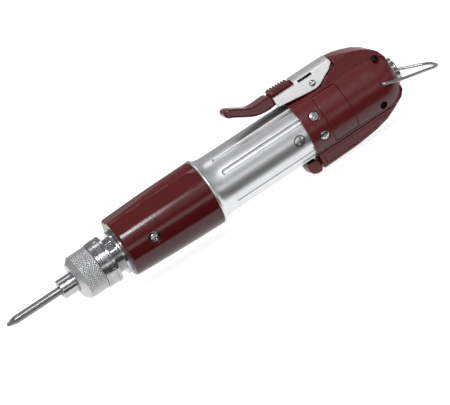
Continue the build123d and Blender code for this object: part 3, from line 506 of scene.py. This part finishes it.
H = 0.36
half_l = lambda X, Y, Z: smax(housing_field(X, Y, Z), Y + 0.02, 0.32)
v, f, g = skin(half_l, (169.9, -21.0, -17.0), (238.4, 1.0, 32.0), H)
make("housing_left_shell", v, f, "root", "burgundy", ("housing_left",), normals=g)
m = np.array([1, -1, 1.0])
make("housing_right_shell", v * m, f[:, ::-1], "root", "burgundy", ("housing_right",), normals=g * m)


def panel_field(X, Y, Z):
    r = radius_at(Y, Z)
    d = smax(r - 19.8, 18.8 - r, 0.3)
    d = smax(d, round_box(X - 193.1, Z - 1.65, 8.25, 14.75, 1.6), 0.35)
    return np.maximum(d, Y + 5.0)


v, f, g = skin(panel_field, (183.6, -20.8, -14.5), (202.6, -4.0, 18.0), 0.3)
make("side_panel_left_plate", v, f, "root", "burgundy", ("side_panel_left",), normals=g)
make("side_panel_right_plate", v * m, f[:, ::-1], "root", "burgundy", ("side_panel_right",), normals=g * m)


def keel_field(X, Y, Z):
    aY = np.abs(Y)
    d = smax(poly_sd(KEEL_SEC, Y, Z), poly_sd(KEEL_SIDE, X, Z), 1.2)
    d = smax(d, Z - (LEDGE - 0.1), 0.35)
    # the outline groove of the side faces
    panel = poly_sd([(174.6, -16.9), (174.6, -23.0), (196, -22.3), (211, -20.4), (218.4, -18.6), (221.5, -16.9)], X, Z)
    groove = 0.42 * np.clip(1 - np.abs(panel) / 0.34, 0, 1) * np.clip((aY - 6.0) / 2.0, 0, 1)
    d = d + groove
    inner = smax(poly_sd([(-10.6, -10.0), (-10.6, -14.0), (-7.3, -22.6), (-6.4, -23.6), (6.4, -23.6), (7.3, -22.6),
                          (10.6, -14.0), (10.6, -10.0)], Y, Z), np.abs(X - 185.0) - 11.0, 0.4)
    d = smax(d, -inner, 0.3)
    d = np.maximum(d, -(radius_at(Y, Z) - 19.86))
    slotb = np.maximum(np.maximum(aY - 4.7, np.abs(Z + 21.6) - 1.25), np.abs(X - 173.0) - 2.0)
    return smax(d, -slotb, 0.2)


v, f, g = skin(keel_field, (171.0, -14.2, -26.4), (230.5, 14.2, -14.6), 0.4)
make("keel_cover_shell", v, f, "root", "burgundy", ("keel_cover",), normals=g)


def knob_field(X, Y, Z):
    aY = np.abs(Y)
    prof = round_poly([(163.2, -17.5), (171.6, -17.5), (171.6, -26.0), (166.4, -26.0), (163.4, -23.6)], 2)
    d = smax(poly_sd(prof, X, Z), aY - 6.2, 0.9)
    d = d + 0.28 * np.clip(1 - np.abs(((X - 165.2) % 1.5) - 0.75) / 0.42, 0, 1) * np.clip((-24.6 - Z) / 0.6, 0, 1)
    stem = np.maximum(np.maximum(aY - 2.5, np.abs(Z + 21.6) - 1.05), np.abs(X - 174.4) - 3.4)
    return smin(d, stem, 0.3)


v, f, g = skin(knob_field, (162.3, -7.0, -26.6), (178.6, 7.0, -18.0), 0.3)
make("selector_knob_slider", v, f, "selector", "burgundy_soft", ("selector_knob",), normals=g)

# ------------------------------------------------------------------ front cover


def cover_field(X, Y, Z):
    aY = np.abs(Y)
    t = np.clip((X - 42.6) / 61.0, 0, 1)
    zc = 1.85 - 0.7 * t
    y2, z2 = Y, Z - zc
    r = np.sqrt(y2 * y2 + z2 * z2)
    R = 19.35 + 1.75 * t + 0.25 * np.sin(math.pi * t)
    d = r - R
    # the flat along the top, which runs out towards the barrel
    d = smax(d, z2 - (18.15 + 0.0625 * (X - 45.0)), 0.25)
    # a flat on each shoulder with a round rear end
    ang = math.radians(47.5)
    h = aY * math.cos(ang) + z2 * math.sin(ang)
    w = aY * math.sin(ang) - z2 * math.cos(ang)
    plane = h - (18.82 + 0.0285 * (X - 45.0))
    tongue = np.sqrt(np.maximum(X - 95.6, 0) ** 2 + w * w) - 5.2
    cut = np.maximum(-plane, smax(tongue, X - 101.0, 0.4))
    d = smax(d, -cut, 0.22)
    d = smax(d, 42.6 - X, 2.1)
    d = smax(d, X - 103.6, 0.35)
    Rin = np.interp(X, [44.6, 103.6], [17.1, 19.3])
    rin = np.sqrt(Y * Y + (Z - np.interp(X, [44.6, 103.6], [1.7, 1.25])) ** 2)
    inner = np.maximum(rin - Rin, 44.6 - X)
    d = smax(d, -inner, 0.3)
    c = np.sqrt(Y * Y + Z * Z)
    d = smax(d, -np.maximum(c - 15.05, X - 60.0), 0.5)
    c = np.sqrt((X - 61.0) ** 2 + Z * Z)
    d = smax(d, -np.maximum(c - 3.75, 17.95 - aY), 0.35)
    return np.maximum(d, -(c - 1.5))


v, f, g = skin(cover_field, (41.6, -22.0, -20.8), (104.6, 22.0, 23.2), 0.45)
make("front_cover_shell", v, f, "root", "burgundy_gloss", ("front_cover",), normals=g)

# ------------------------------------------------------------------ barrel

FLUTES = [math.radians(q) for q in (57, 25, -36, -64, 123, 155, 216, 244)]


def smooth(t):
    t = np.clip(t, 0, 1)
    return t * t * (3 - 2 * t)


def barrel_bump(x, r, A):
    outer = (r > 17.4) & (x > 106)
    dep = np.zeros_like(r)
    for a0 in FLUTES:
        t = (np.angle(np.exp(1j * (A - a0)))) * 18.5
        q = np.sqrt(np.maximum(117.0 - x, 0) ** 2 + t * t) / 1.8
        dep = np.maximum(dep, 0.8 * np.sqrt(np.clip(1 - q ** 2, 0, 1)))
    y, z = r * np.cos(A), r * np.sin(A) + BODY_Z
    hole = smooth((3.62 - np.sqrt((x - 164.7) ** 2 + z * z)) / 0.25)
    dep = np.maximum(dep, 1.55 * hole)
    return x, np.where(outer, r - dep, r)


xs = list(np.arange(114.5, 120.0, 0.2)) + list(np.arange(121, 160.5, 2.2)) + list(np.arange(160.8, 168.8, 0.16)) + [172.0, 177.0, 182.7]
rim = [(103.62, 18.85), (103.62, 20.55), (103.7, 20.75), (104.1, 21.2), (104.35, 21.3), (104.95, 21.3), (105.25, 21.15),
       (105.5, 20.75), (105.9, 20.3), (106.5, 19.9), (107.4, 19.5), (108.6, 19.15), (110.2, 18.85), (112.0, 18.65)]
prof = rim + [(x, 18.5) for x in xs] + [(183.0, 18.2), (183.0, 17.0), (182.9, 16.9), (140.0, 16.9), (97.6, 16.9), (97.5, 17.0),
                                        (97.5, 18.7), (97.6, 18.85)]
v, f = lathe(prof, n=640, bump=barrel_bump, centre=(0, BODY_Z))
make("barrel_tube", v, f[:, ::-1], "root", "aluminium", ("aluminium_barrel",), sharp=32)

# ------------------------------------------------------------------ bit, sleeve, nut, ring and neck


def star_bump(x, r, A):
    """Cross tip: four flutes that fade along the cone."""
    t = np.clip((x + 37.2) / 6.6, 0, 1)
    c = np.cos(4 * A)
    dep = 0.40 * (1 - smooth(t)) * np.clip(0.35 - c, 0, 1.35) * np.minimum(1, r / 1.2)
    return x, np.where(x < -30.4, np.maximum(r - dep * r * 0.55, 0.02), r)


def hex_bump(x, r, A):
    x, r = star_bump(x, r, A)
    s = np.abs(((A / (math.pi / 3)) % 1.0) - 0.5) * (math.pi / 3)
    return x, np.where(x > 0.19, np.minimum(r, 2.5 / np.cos(s)), r)


pts = [(-37.2, 0.01), (-37.2, 0.45), (-37.1, 0.72), (-36.9, 0.86)]
pts += [(x, np.interp(x, [-36.9, -36.2, -31.9, -31.2, -30.6], [0.86, 1.22, 2.38, 2.48, 2.5])) for x in np.arange(-36.7, -30.2, 0.25)]
pts += [(-28.0, 2.5), (-20.0, 2.5), (-10.0, 2.5), (0.15, 2.5), (0.2, 2.6), (0.6, 2.885), (5.3, 2.885), (5.35, 2.15), (7.65, 2.15), (7.7, 2.885), (13.6, 2.885),
        (14.0, 2.5), (14.0, 0.01)]
v, f = lathe(pts, n=144, bump=hex_bump)
make("screwdriver_bit", v, f[:, ::-1], "spindle", "tool", ("bit",), sharp=38)

pts = soften([(0.1, 4.25), (0.1, 6.1), (4.0, 6.1), (4.2, 6.02), (4.5, 6.02), (4.7, 6.1), (16.0, 6.1), (16.0, 5.6), (9.0, 5.6), (9.0, 4.25),
              (4.8, 4.25), (4.8, 5.0), (2.0, 5.0), (2.0, 4.25)], 0.35)
v, f = lathe(pts, n=128)
make("bit_sleeve_turned", v, f[:, ::-1], "sleeve", "chrome", ("bit_sleeve",), sharp=40)

STARTS = 50


def knurl_bump(x, r, A):
    k = STARTS / (2 * math.pi)
    p = 2 * math.pi * 14.25 / STARTS
    u = (A * k + x / p) % 1.0
    w = (A * k - x / p) % 1.0
    tri = np.minimum(1 - np.abs(2 * u - 1), 1 - np.abs(2 * w - 1))
    on = ((x > 13.7) & (x < 25.15) & (r > 14.0)).astype(float)
    fade = smooth((x - 13.7) / 0.3) * smooth((25.15 - x) / 0.3)
    return x, r - on * fade * 0.62 * (1 - tri)


xs = np.arange(13.7, 25.2, 0.155)
pts = [(12.4, 6.7), (10.35, 6.7), (10.2, 6.85), (10.2, 10.8), (10.32, 11.05), (10.55, 11.3), (12.2, 12.9), (13.15, 13.85), (13.5, 14.1)]
pts += [(x, 14.2) for x in xs]
pts += [(25.3, 14.1), (25.5, 13.95), (25.68, 13.7), (25.68, 11.4), (12.5, 11.36)]
v, f = lathe(pts, n=528, bump=knurl_bump)
make("torque_nut_knurled", v, f[:, ::-1], "nut", "knurl", ("torque_nut",), sharp=75)

pts = soften([(25.72, 11.36), (25.72, 14.75), (26.4, 14.75), (26.4, 14.35), (26.9, 14.35), (26.9, 14.8), (27.7, 14.8), (27.7, 14.45),
              (28.1, 14.45), (28.1, 14.85), (32.6, 14.85), (32.6, 14.4), (33.0, 14.4), (33.0, 15.0), (34.8, 15.0), (34.8, 11.36)], 0.16)


def ring_bump(x, r, A):
    """Plain graduation: sixty fine lines, longer at each sixth one."""
    k = (A * 60 / (2 * math.pi)) % 1.0
    n = np.round(A * 60 / (2 * math.pi)) % 6
    line = np.clip(1 - np.abs(np.where(k > 0.5, k - 1, k)) / 0.085, 0, 1)
    reach = np.where(n == 0, 29.2, 30.8)
    on = (x > reach) & (x < 32.5) & (r > 14.6)
    return x, r - np.where(on, 0.14 * line, 0)


rows = []
for p in pts:
    rows.append(tuple(p))
rows2 = []
for p, q in zip(rows, rows[1:] + rows[:1]):
    rows2.append(p)
    if abs(p[1] - 14.85) < 0.02 and abs(q[1] - 14.85) < 0.02 and q[0] - p[0] > 2:
        rows2 += [(x, 14.85) for x in (29.1, 29.3, 30.7, 30.9, 32.3, 32.45)]
v, f = lathe(rows2, n=720, bump=ring_bump)
make("scale_ring_turned", v, f[:, ::-1], "nut", "chrome", ("scale_ring",), sharp=40)


def thread_bump(x, r, A):
    ph = (x - A / (2 * math.pi)) % 1.0
    cut = 0.42 * np.clip((1 - np.abs(2 * ph - 1)) * 1.25, 0, 1)
    on = (x > 18.6) & (x < 39.4) & (r > 11.0)
    r1 = np.where(on, r - 1.15 * cut * smooth((x - 18.6) / 0.8) * smooth((39.4 - x) / 0.5), r)
    a0 = math.radians(135.0)
    da = np.angle(np.exp(1j * (A - a0)))
    wide = np.abs(r * np.sin(da))
    flat = 10.62 / np.maximum(np.cos(da), 0.3)
    tick = 0.16 * ((((x + 0.1) % 0.9) < 0.26) & (wide < np.where(np.round((x + 0.1) / 0.9) % 2 < 1, 1.7, 1.0)) & (x > 34.9))
    on2 = (x > 33.5) & (x < 39.75) & (wide < 2.9) & (np.cos(da) > 0) & (r > 11.0)
    return x, np.where(on2, np.minimum(r1, flat - tick), r1)


xs = np.arange(18.4, 39.85, 0.13)
pts = [(18.0, 10.35), (18.0, 11.0), (18.2, 11.25)] + [(x, 11.3) for x in xs]
pts += [(39.9, 11.6), (39.9, 13.75), (39.98, 13.95), (40.2, 14.1), (42.1, 14.1), (42.3, 14.0), (42.4, 13.8), (42.4, 6.6), (20.0, 6.6),
        (20.0, 7.6), (39.8, 7.6), (39.8, 10.3), (18.1, 10.3)]
v, f = lathe(pts, n=288, bump=thread_bump)
make("threaded_neck_turned", v, f[:, ::-1], "root", "chrome", ("threaded_neck",), sharp=50)

# ------------------------------------------------------------------ lever, insert, bracket and pin

LEVER = [(136.0, 33.9), (136.3, 35.7), (137.6, 36.8), (139.4, 36.8), (141.6, 36.0), (146.4, 33.3), (150.5, 30.9),
         (153.8, 30.0), (158.6, 30.0), (166.3, 30.3), (166.3, 23.2), (163.0, 22.6), (159.8, 22.6), (156.5, 22.9),
         (151.7, 23.9), (146.4, 26.8), (140.4, 30.5), (137.2, 31.7)]
LEVER_R = round_poly(LEVER, 2)


def lever_field(X, Y, Z):
    aY = np.abs(Y)
    side = poly_sd(LEVER_R, X, Z)
    # rounded plan view at the tip, waisted behind it
    wide = np.interp(X, [136.0, 137.5, 140, 146, 153, 158, 166.2], [4.9, 5.9, 6.4, 6.4, 6.3, 6.35, 6.4])
    crown = 0.020 * aY ** 2 * smooth((160 - X) / 8)
    d = smax(side + crown * 0.2, aY - wide, 1.3)
    d = smax(d, X - 166.1, 0.4)
    # finger hollow along the top
    low = smax(smax(aY - 8.55, poly_sd([(165.6, 23.25), (165.6, 26.9), (180.6, 26.9), (180.6, 26.4), (186.2, 26.4), (186.2, 23.25)], X, Z), 0.4),
               0.0 * X - 1.0, 0.0001)
    upb = smax(aY - 6.8, poly_sd([(165.8, 25.5), (165.8, 28.55), (180.6, 28.55), (180.6, 25.5)], X, Z), 0.4)
    return smin(smin(d, low, 0.3), upb, 0.25)


v, f, g = skin(lever_field, (135.2, -9.4, 21.6), (187.2, 9.4, 37.6), 0.36)
make("start_lever_moulding", v, f, "lever", "burgundy_gloss", ("start_lever",), normals=g)


def insert_field(X, Y, Z):
    aY = np.abs(Y)
    side = poly_sd([(166.35, 28.62), (166.35, 30.5), (168.2, 31.55), (180.1, 31.0), (180.1, 28.62)], X, Z)
    d = smax(side, aY - 5.6, 0.7)
    rib = ((X - 168.3) % 1.9) - 0.95
    d = d + 0.75 * np.clip(1.4 - np.abs(rib) / 0.42, 0, 1) * np.clip((Z - 29.3) / 0.4, 0, 1) * np.clip((X - 168) / 0.5, 0, 1)
    return d


v, f, g = skin(insert_field, (165.6, -6.2, 28.0), (180.9, 6.2, 32.2), 0.22)
make("lever_insert_pad", v, f, "lever", "burgundy_soft", ("lever_insert",), normals=g)

CHEEK = [(165.5, 22.1), (165.5, 29.0), (207.0, 29.0), (207.0, 27.6), (203.4, 24.4), (200.0, 22.7), (196.4, 20.6), (193.6, 19.3), (190.9, 19.0),
         (185.0, 19.5)]


def bracket_field(X, Y, Z):
    aY = np.abs(Y)
    zo = 28.1 + 3.2 * (1 - (aY / 9.8) ** 2)
    zi = 27.1 + 2.85 * (1 - (aY / 8.6) ** 2)
    outer = smax(aY - 9.8, (Z - zo) * 0.86, 0.8)
    hollow = smax(aY - 8.62, (Z - zi) * 0.86, 0.5)
    d = smax(outer, -hollow, 0.2)
    d = smax(d, poly_sd(CHEEK, X, np.minimum(Z, 28.6)), 0.3)
    # before the web the cheeks are cut level
    d = smax(d, smin(Z - 28.15, 181.2 - X, 0.3), 0.3)
    slot = smax(np.abs(Z - 28.2) - 0.62, np.abs(X - 188.6) - 4.8, 0.3)
    d = smax(d, -np.maximum(slot, 6.6 - aY), 0.2)
    d = smax(d, np.maximum(X - 207.0, 165.5 - X), 0.4)
    c = np.sqrt((X - 190.9) ** 2 + (Z - 22.9) ** 2)
    return np.maximum(d, -(c - 1.93))


v, f, g = skin(bracket_field, (164.6, -10.6, 18.2), (208.0, 10.6, 32.2), 0.32)
make("lever_bracket_pressing", v, f, "lever", "bracket", ("lever_bracket",), normals=g)


def turned(profile, at, axis, n=64, bump=None):
    """A small turned piece: profile rows are (height, radius) along axis from the point at."""
    v, f = lathe(profile, n=n, bump=bump)
    ax = np.array(axis, float)
    ax /= np.linalg.norm(ax)
    e1 = np.array([1.0, 0, 0]) if abs(ax[0]) < 0.9 else np.array([0, 1.0, 0])
    e1 = e1 - ax * (e1 @ ax)
    e1 /= np.linalg.norm(e1)
    e2 = np.cross(ax, e1)
    w = np.array(at, float) + v[:, :1] * ax + v[:, 1:2] * e1 + v[:, 2:3] * e2
    return w, f[:, ::-1]


pin = [(-10.2, 0.01), (-10.2, 1.3), (-10.12, 1.55), (-9.95, 1.75), (-9.75, 1.86), (9.75, 1.86), (9.95, 1.75), (10.12, 1.55), (10.2, 1.3),
       (10.2, 0.01)]
v, f = turned(pin, (190.9, 0, 22.9), (0, 1, 0))
make("lever_pin_rivet", v, f, "root", "chrome", ("lever_pin",), sharp=45)

# ------------------------------------------------------------------ screws and caps


def cross_head(R, top, dish, stem_r, bottom, turn, slots=2, width=0.36, deep=0.55, reach=0.68):
    """Pan head with a cross or a single slot, as rows from the stem's end to the crown."""
    rows = [(bottom, 0.01), (bottom, stem_r), (0.0, stem_r), (0.0, R * 0.97), (0.08, R)]
    rows += [(top - dish, R)]
    for q in np.linspace(0.02, 1, 26):
        a = q * math.pi / 2
        rr = R * math.cos(a)
        rows.append((top - dish + dish * math.sin(a) ** 0.8, max(rr, 0.012)))

    def bump(x, r, A):
        u, w = r * np.cos(A - turn), r * np.sin(A - turn)
        s = smooth((width - np.abs(w)) / 0.12) * smooth((reach * R - np.abs(u)) / 0.15)
        if slots == 2:
            s = np.maximum(s, smooth((width - np.abs(u)) / 0.12) * smooth((reach * R - np.abs(w)) / 0.15))
        on = x > top - dish - 0.05
        return np.where(on, x - deep * s * np.clip(1.15 - 0.45 * r / R, 0, 1), x), r
    return rows, bump


parts = []
for s in (1, -1):
    for ang in (20, -20):
        c, q = math.cos(math.radians(ang)), math.sin(math.radians(ang))
        rows, b = cross_head(2.75, 1.0, 0.62, 1.15, -2.9, math.radians(31 if ang > 0 else 8))
        parts.append(turned(rows, (179.6, s * c * 18.98, BODY_Z + q * 18.98), (0, s * c, q), n=120, bump=b))
v, f = join(parts)
make("housing_screw_heads", v, f, "root", "chrome", ("housing_screws",), sharp=50)

parts = []
for s in (1, -1):
    rows, b = cross_head(2.55, 1.45, 0.8, 1.2, -4.3, math.radians(24))
    parts.append(turned(rows, (61.0, s * 18.05, 0), (0, s, 0), n=120, bump=b))
v, f = join(parts)
make("front_cover_screw_heads", v, f, "root", "chrome", ("front_cover_screws",), sharp=50)

parts = []
for bx, bz, half in ((230.0, 14.8, 9.4), (220.0, -10.6, 12.4)):
    rows, b = cross_head(2.1, 1.15, 0.5, 1.2, -2 * half + 2.9, math.radians(40), width=0.3)
    parts.append(turned(rows, (bx, -half + 1.35, bz), (0, -1, 0), n=96, bump=b))
v, f = join(parts)
make("clamp_screw_heads", v, f, "root", "dark_screw", ("clamp_screws",), sharp=50)

parts = []
for s in (1, -1):
    rows, b = cross_head(3.2, 1.22, 0.3, 2.4, -1.2, math.radians(-60 * s), slots=1, width=0.45, deep=0.75, reach=1.2)
    parts.append(turned(rows, (164.7, s * 17.3, 0), (0, s, 0), n=128, bump=b))
v, f = join(parts)
make("brush_cap_heads", v, f, "root", "chrome", ("brush_caps",), sharp=40)

# ------------------------------------------------------------------ inlet ring and bail

pts = soften([(237.3, 7.1), (237.3, 8.2), (237.9, 8.2), (238.0, 7.95), (238.3, 7.95), (238.4, 8.2), (239.0, 8.2), (239.1, 7.95), (239.4, 7.95),
              (239.5, 8.2), (240.5, 8.2), (240.5, 7.1)], 0.2)
v, f = lathe(pts, n=128)
make("inlet_ring_turned", v, f[:, ::-1], "root", "chrome", ("inlet_ring",), sharp=40)


def catmull(pts, n=14):
    p = np.asarray(pts, float)
    p = np.vstack([2 * p[0] - p[1], p, 2 * p[-1] - p[-2]])
    out = []
    for i in range(1, len(p) - 2):
        for t in np.linspace(0, 1, n, endpoint=False):
            a, b, c, d = p[i - 1], p[i], p[i + 1], p[i + 2]
            out.append(0.5 * ((2 * b) + (c - a) * t + (2 * a - 5 * b + 4 * c - d) * t * t + (3 * b - a - 3 * c + d) * t ** 3))
    out.append(p[-2])
    return np.array(out)


def arc_path(points, radii, step=0.35):
    """Straight runs joined by arcs, in a plane."""
    P = [np.array(q, float) for q in points]
    out = [P[0]]
    for i in range(1, len(P) - 1):
        a, b, c = P[i - 1], P[i], P[i + 1]
        u, w = (a - b) / np.linalg.norm(a - b), (c - b) / np.linalg.norm(c - b)
        half = math.acos(np.clip(u @ w, -1, 1)) / 2
        r = radii[i - 1]
        t = r / math.tan(half)
        p0, p1 = b + u * t, b + w * t
        mid = (u + w) / np.linalg.norm(u + w)
        ctr = b + mid * (r / math.sin(half))
        a0, a1 = p0 - ctr, p1 - ctr
        ang = math.pi - 2 * half
        m = max(3, int(r * ang / step))
        for k in range(m + 1):
            s = k / m
            q = (math.sin((1 - s) * ang) * a0 + math.sin(s * ang) * a1) / math.sin(ang)
            out.append(ctr + q)
    out.append(P[-1])
    return np.array(out)


plan = arc_path([(0, -17.2), (0, -21.4), (15, -20.4), (29.0, -13.6), (40.2, -9.2), (40.2, 9.2), (29.0, 13.6), (15, 20.4), (0, 21.4), (0, 17.2)],
                (1.6, 16.0, 30.0, 7.4, 7.4, 30.0, 16.0, 1.6))
tl = math.radians(-18.0)
path = np.stack([224.6 + plan[:, 0] * math.cos(tl), plan[:, 1], 1.8 + plan[:, 0] * math.sin(tl)], 1)
dense = [path[0]]
for q in path[1:]:
    d = np.linalg.norm(q - dense[-1])
    k = max(1, int(d / 0.8))
    last = dense[-1]
    for i in range(1, k + 1):
        dense.append(last + (q - last) * i / k)
v, f = tube(np.array(dense), 0.95, n=16)
make("hanger_bail_wire", v, f[:, ::-1], "bail", "wire", ("hanger_bail",), sharp=60)


# ------------------------------------------------------------------ camera, floor and light

AZ, EL, ROLL = math.radians(10.6), math.radians(14.0), math.radians(33.5)
view_dir = Vector((-math.sin(AZ) * math.cos(EL), -math.cos(AZ) * math.cos(EL), math.sin(EL)))
LENS, FRAME_W = 340.0, 265.0
dist = FRAME_W * MM * LENS / 36.0
fwd = -view_dir
axis_x = Vector((1, 0, 0))
ax = (axis_x - fwd * axis_x.dot(fwd)).normalized()          # the spindle axis as the camera sees it
axn = ax.cross(fwd).normalized()
if axn.z < 0:
    axn = -axn
right = ax * math.cos(ROLL) - axn * math.sin(ROLL)
up = ax * math.sin(ROLL) + axn * math.cos(ROLL)
target = Vector((110.5 * MM, 0, 0)) + axn * (-10.3 * MM)
cam_data = bpy.data.cameras.new("camera")
cam = bpy.data.objects.new("camera", cam_data)
bpy.context.scene.collection.objects.link(cam)
cam_data.lens = LENS
cam_data.sensor_width = 36.0
cam_data.sensor_fit = "HORIZONTAL"
cam_data.clip_start = 0.05
cam_data.clip_end = 60.0
loc = target + view_dir * dist
rot = Matrix((right, up, -fwd)).transposed().to_4x4()
cam.matrix_world = Matrix.Translation(loc) @ rot
bpy.context.scene.camera = cam


def sheet_mesh(name, x0, x1, y0, y1, z):
    me = bpy.data.meshes.new(name)
    me.from_pydata([(x0, y0, z), (x1, y0, z), (x1, y1, z), (x0, y1, z)], [], [(0, 1, 2, 3)])
    o = bpy.data.objects.new(name, me)
    bpy.context.scene.collection.objects.link(o)
    return o


FLOOR_Z = cad_box[0][2] - 0.0005
floor = sheet_mesh("studio_floor", -9.0, 9.0, -9.0, 9.0, FLOOR_Z)
floor.data.materials.append(shader("pale_floor", (0.20, 0.20, 0.20), rough=0.85, spec=0.0, tint=(0.19, 0.19, 0.19),
                                   tint_scale=3.0, grain=(40.0, 0.02, 0.0001)))
# a dark card lying in front of the object, which only its reflections show
flag = sheet_mesh("dark_card", -0.6, 0.9, -0.14, -0.032, FLOOR_Z + 0.0003)
flag.data.materials.append(shader("card", (0.03, 0.03, 0.03), rough=0.9, spec=0.0, tint=(0.015, 0.015, 0.015)))
flag.visible_camera = flag.visible_diffuse = flag.visible_shadow = flag.visible_transmission = False
for q in floor.data.materials[0].node_tree.nodes:
    if q.type == "BSDF_PRINCIPLED":
        q.inputs["Emission Color"].default_value = (1, 1, 1, 1)
        q.inputs["Emission Strength"].default_value = 0.86
floor.visible_diffuse = False


def area(name, loc, target, size, power, size_y=None, color=(1, 1, 1)):
    d = bpy.data.lights.new(name, "AREA")
    d.shape = "RECTANGLE"
    d.size = size
    d.size_y = size_y or size
    d.energy = power
    d.color = color
    o = bpy.data.objects.new(name, d)
    bpy.context.scene.collection.objects.link(o)
    o.location = loc
    o.rotation_euler = (Vector(target) - Vector(loc)).to_track_quat("-Z", "Y").to_euler()
    return o


C = (0.12, 0.0, 0.0)
area("key", (-0.05, -0.95, 0.85), C, 0.5, 7.5, 0.20)
area("top", (0.15, 0.25, 1.1), C, 1.1, 1.6, 0.22)
w = bpy.data.worlds.new("studio")
bpy.context.scene.world = w
w.use_nodes = True
wt = w.node_tree
wt.nodes.clear()
wo = wt.nodes.new("ShaderNodeOutputWorld")
flat = wt.nodes.new("ShaderNodeBackground")
flat.inputs[0].default_value = (1, 1, 1, 1)
flat.inputs[1].default_value = 1.05
room = wt.nodes.new("ShaderNodeBackground")
room.inputs[1].default_value = 0.76
geo = wt.nodes.new("ShaderNodeTexCoord")
sep = wt.nodes.new("ShaderNodeSeparateXYZ")
wt.links.new(geo.outputs["Generated"], sep.inputs[0])
ramp = wt.nodes.new("ShaderNodeValToRGB")                   # the room by height, from straight down to straight up
ramp.color_ramp.elements[0].position = 0.46
ramp.color_ramp.elements[0].color = (0.06, 0.06, 0.065, 1)
ramp.color_ramp.elements[1].position = 0.98
ramp.color_ramp.elements[1].color = (0.35, 0.35, 0.36, 1)
e = ramp.color_ramp.elements.new(0.60)
e.color = (0.22, 0.22, 0.23, 1)
e = ramp.color_ramp.elements.new(0.72)
e.color = (0.85, 0.85, 0.86, 1)
e = ramp.color_ramp.elements.new(0.84)
e.color = (0.22, 0.22, 0.23, 1)
half = wt.nodes.new("ShaderNodeMath")
half.operation = "MULTIPLY_ADD"
half.inputs[1].default_value = 0.5
half.inputs[2].default_value = 0.5
wt.links.new(sep.outputs["Z"], half.inputs[0])
wt.links.new(half.outputs[0], ramp.inputs[0])
wall = wt.nodes.new("ShaderNodeMapRange")                     # a bright wall behind the object
wall.interpolation_type = "SMOOTHSTEP"
wall.inputs["From Min"].default_value = 0.35
wall.inputs["From Max"].default_value = 0.85
wt.links.new(sep.outputs["Y"], wall.inputs["Value"])
wallmix = wt.nodes.new("ShaderNodeMix")
wallmix.data_type = "RGBA"
wallmix.inputs[7].default_value = (0.42, 0.42, 0.43, 1)
wt.links.new(wall.outputs[0], wallmix.inputs[0])
wt.links.new(ramp.outputs[0], wallmix.inputs[6])
wt.links.new(wallmix.outputs[2], room.inputs[0])
lp = wt.nodes.new("ShaderNodeLightPath")
wm = wt.nodes.new("ShaderNodeMixShader")
wt.links.new(lp.outputs["Is Glossy Ray"], wm.inputs[0])
sky = wt.nodes.new("ShaderNodeMapRange")                      # soft light mostly from above
sky.interpolation_type = "SMOOTHSTEP"
sky.inputs["From Min"].default_value = -0.35
sky.inputs["From Max"].default_value = 0.95
sky.inputs["To Min"].default_value = 0.42
sky.inputs["To Max"].default_value = 1.75
wt.links.new(sep.outputs["Z"], sky.inputs["Value"])
wt.links.new(sky.outputs[0], flat.inputs[1])
wt.links.new(flat.outputs[0], wm.inputs[1])
wt.links.new(room.outputs[0], wm.inputs[2])
wt.links.new(wm.outputs[0], wo.inputs[0])
bpy.context.scene.view_settings.view_transform = "Standard"

# ------------------------------------------------------------------ the end

bpy.context.view_layer.update()
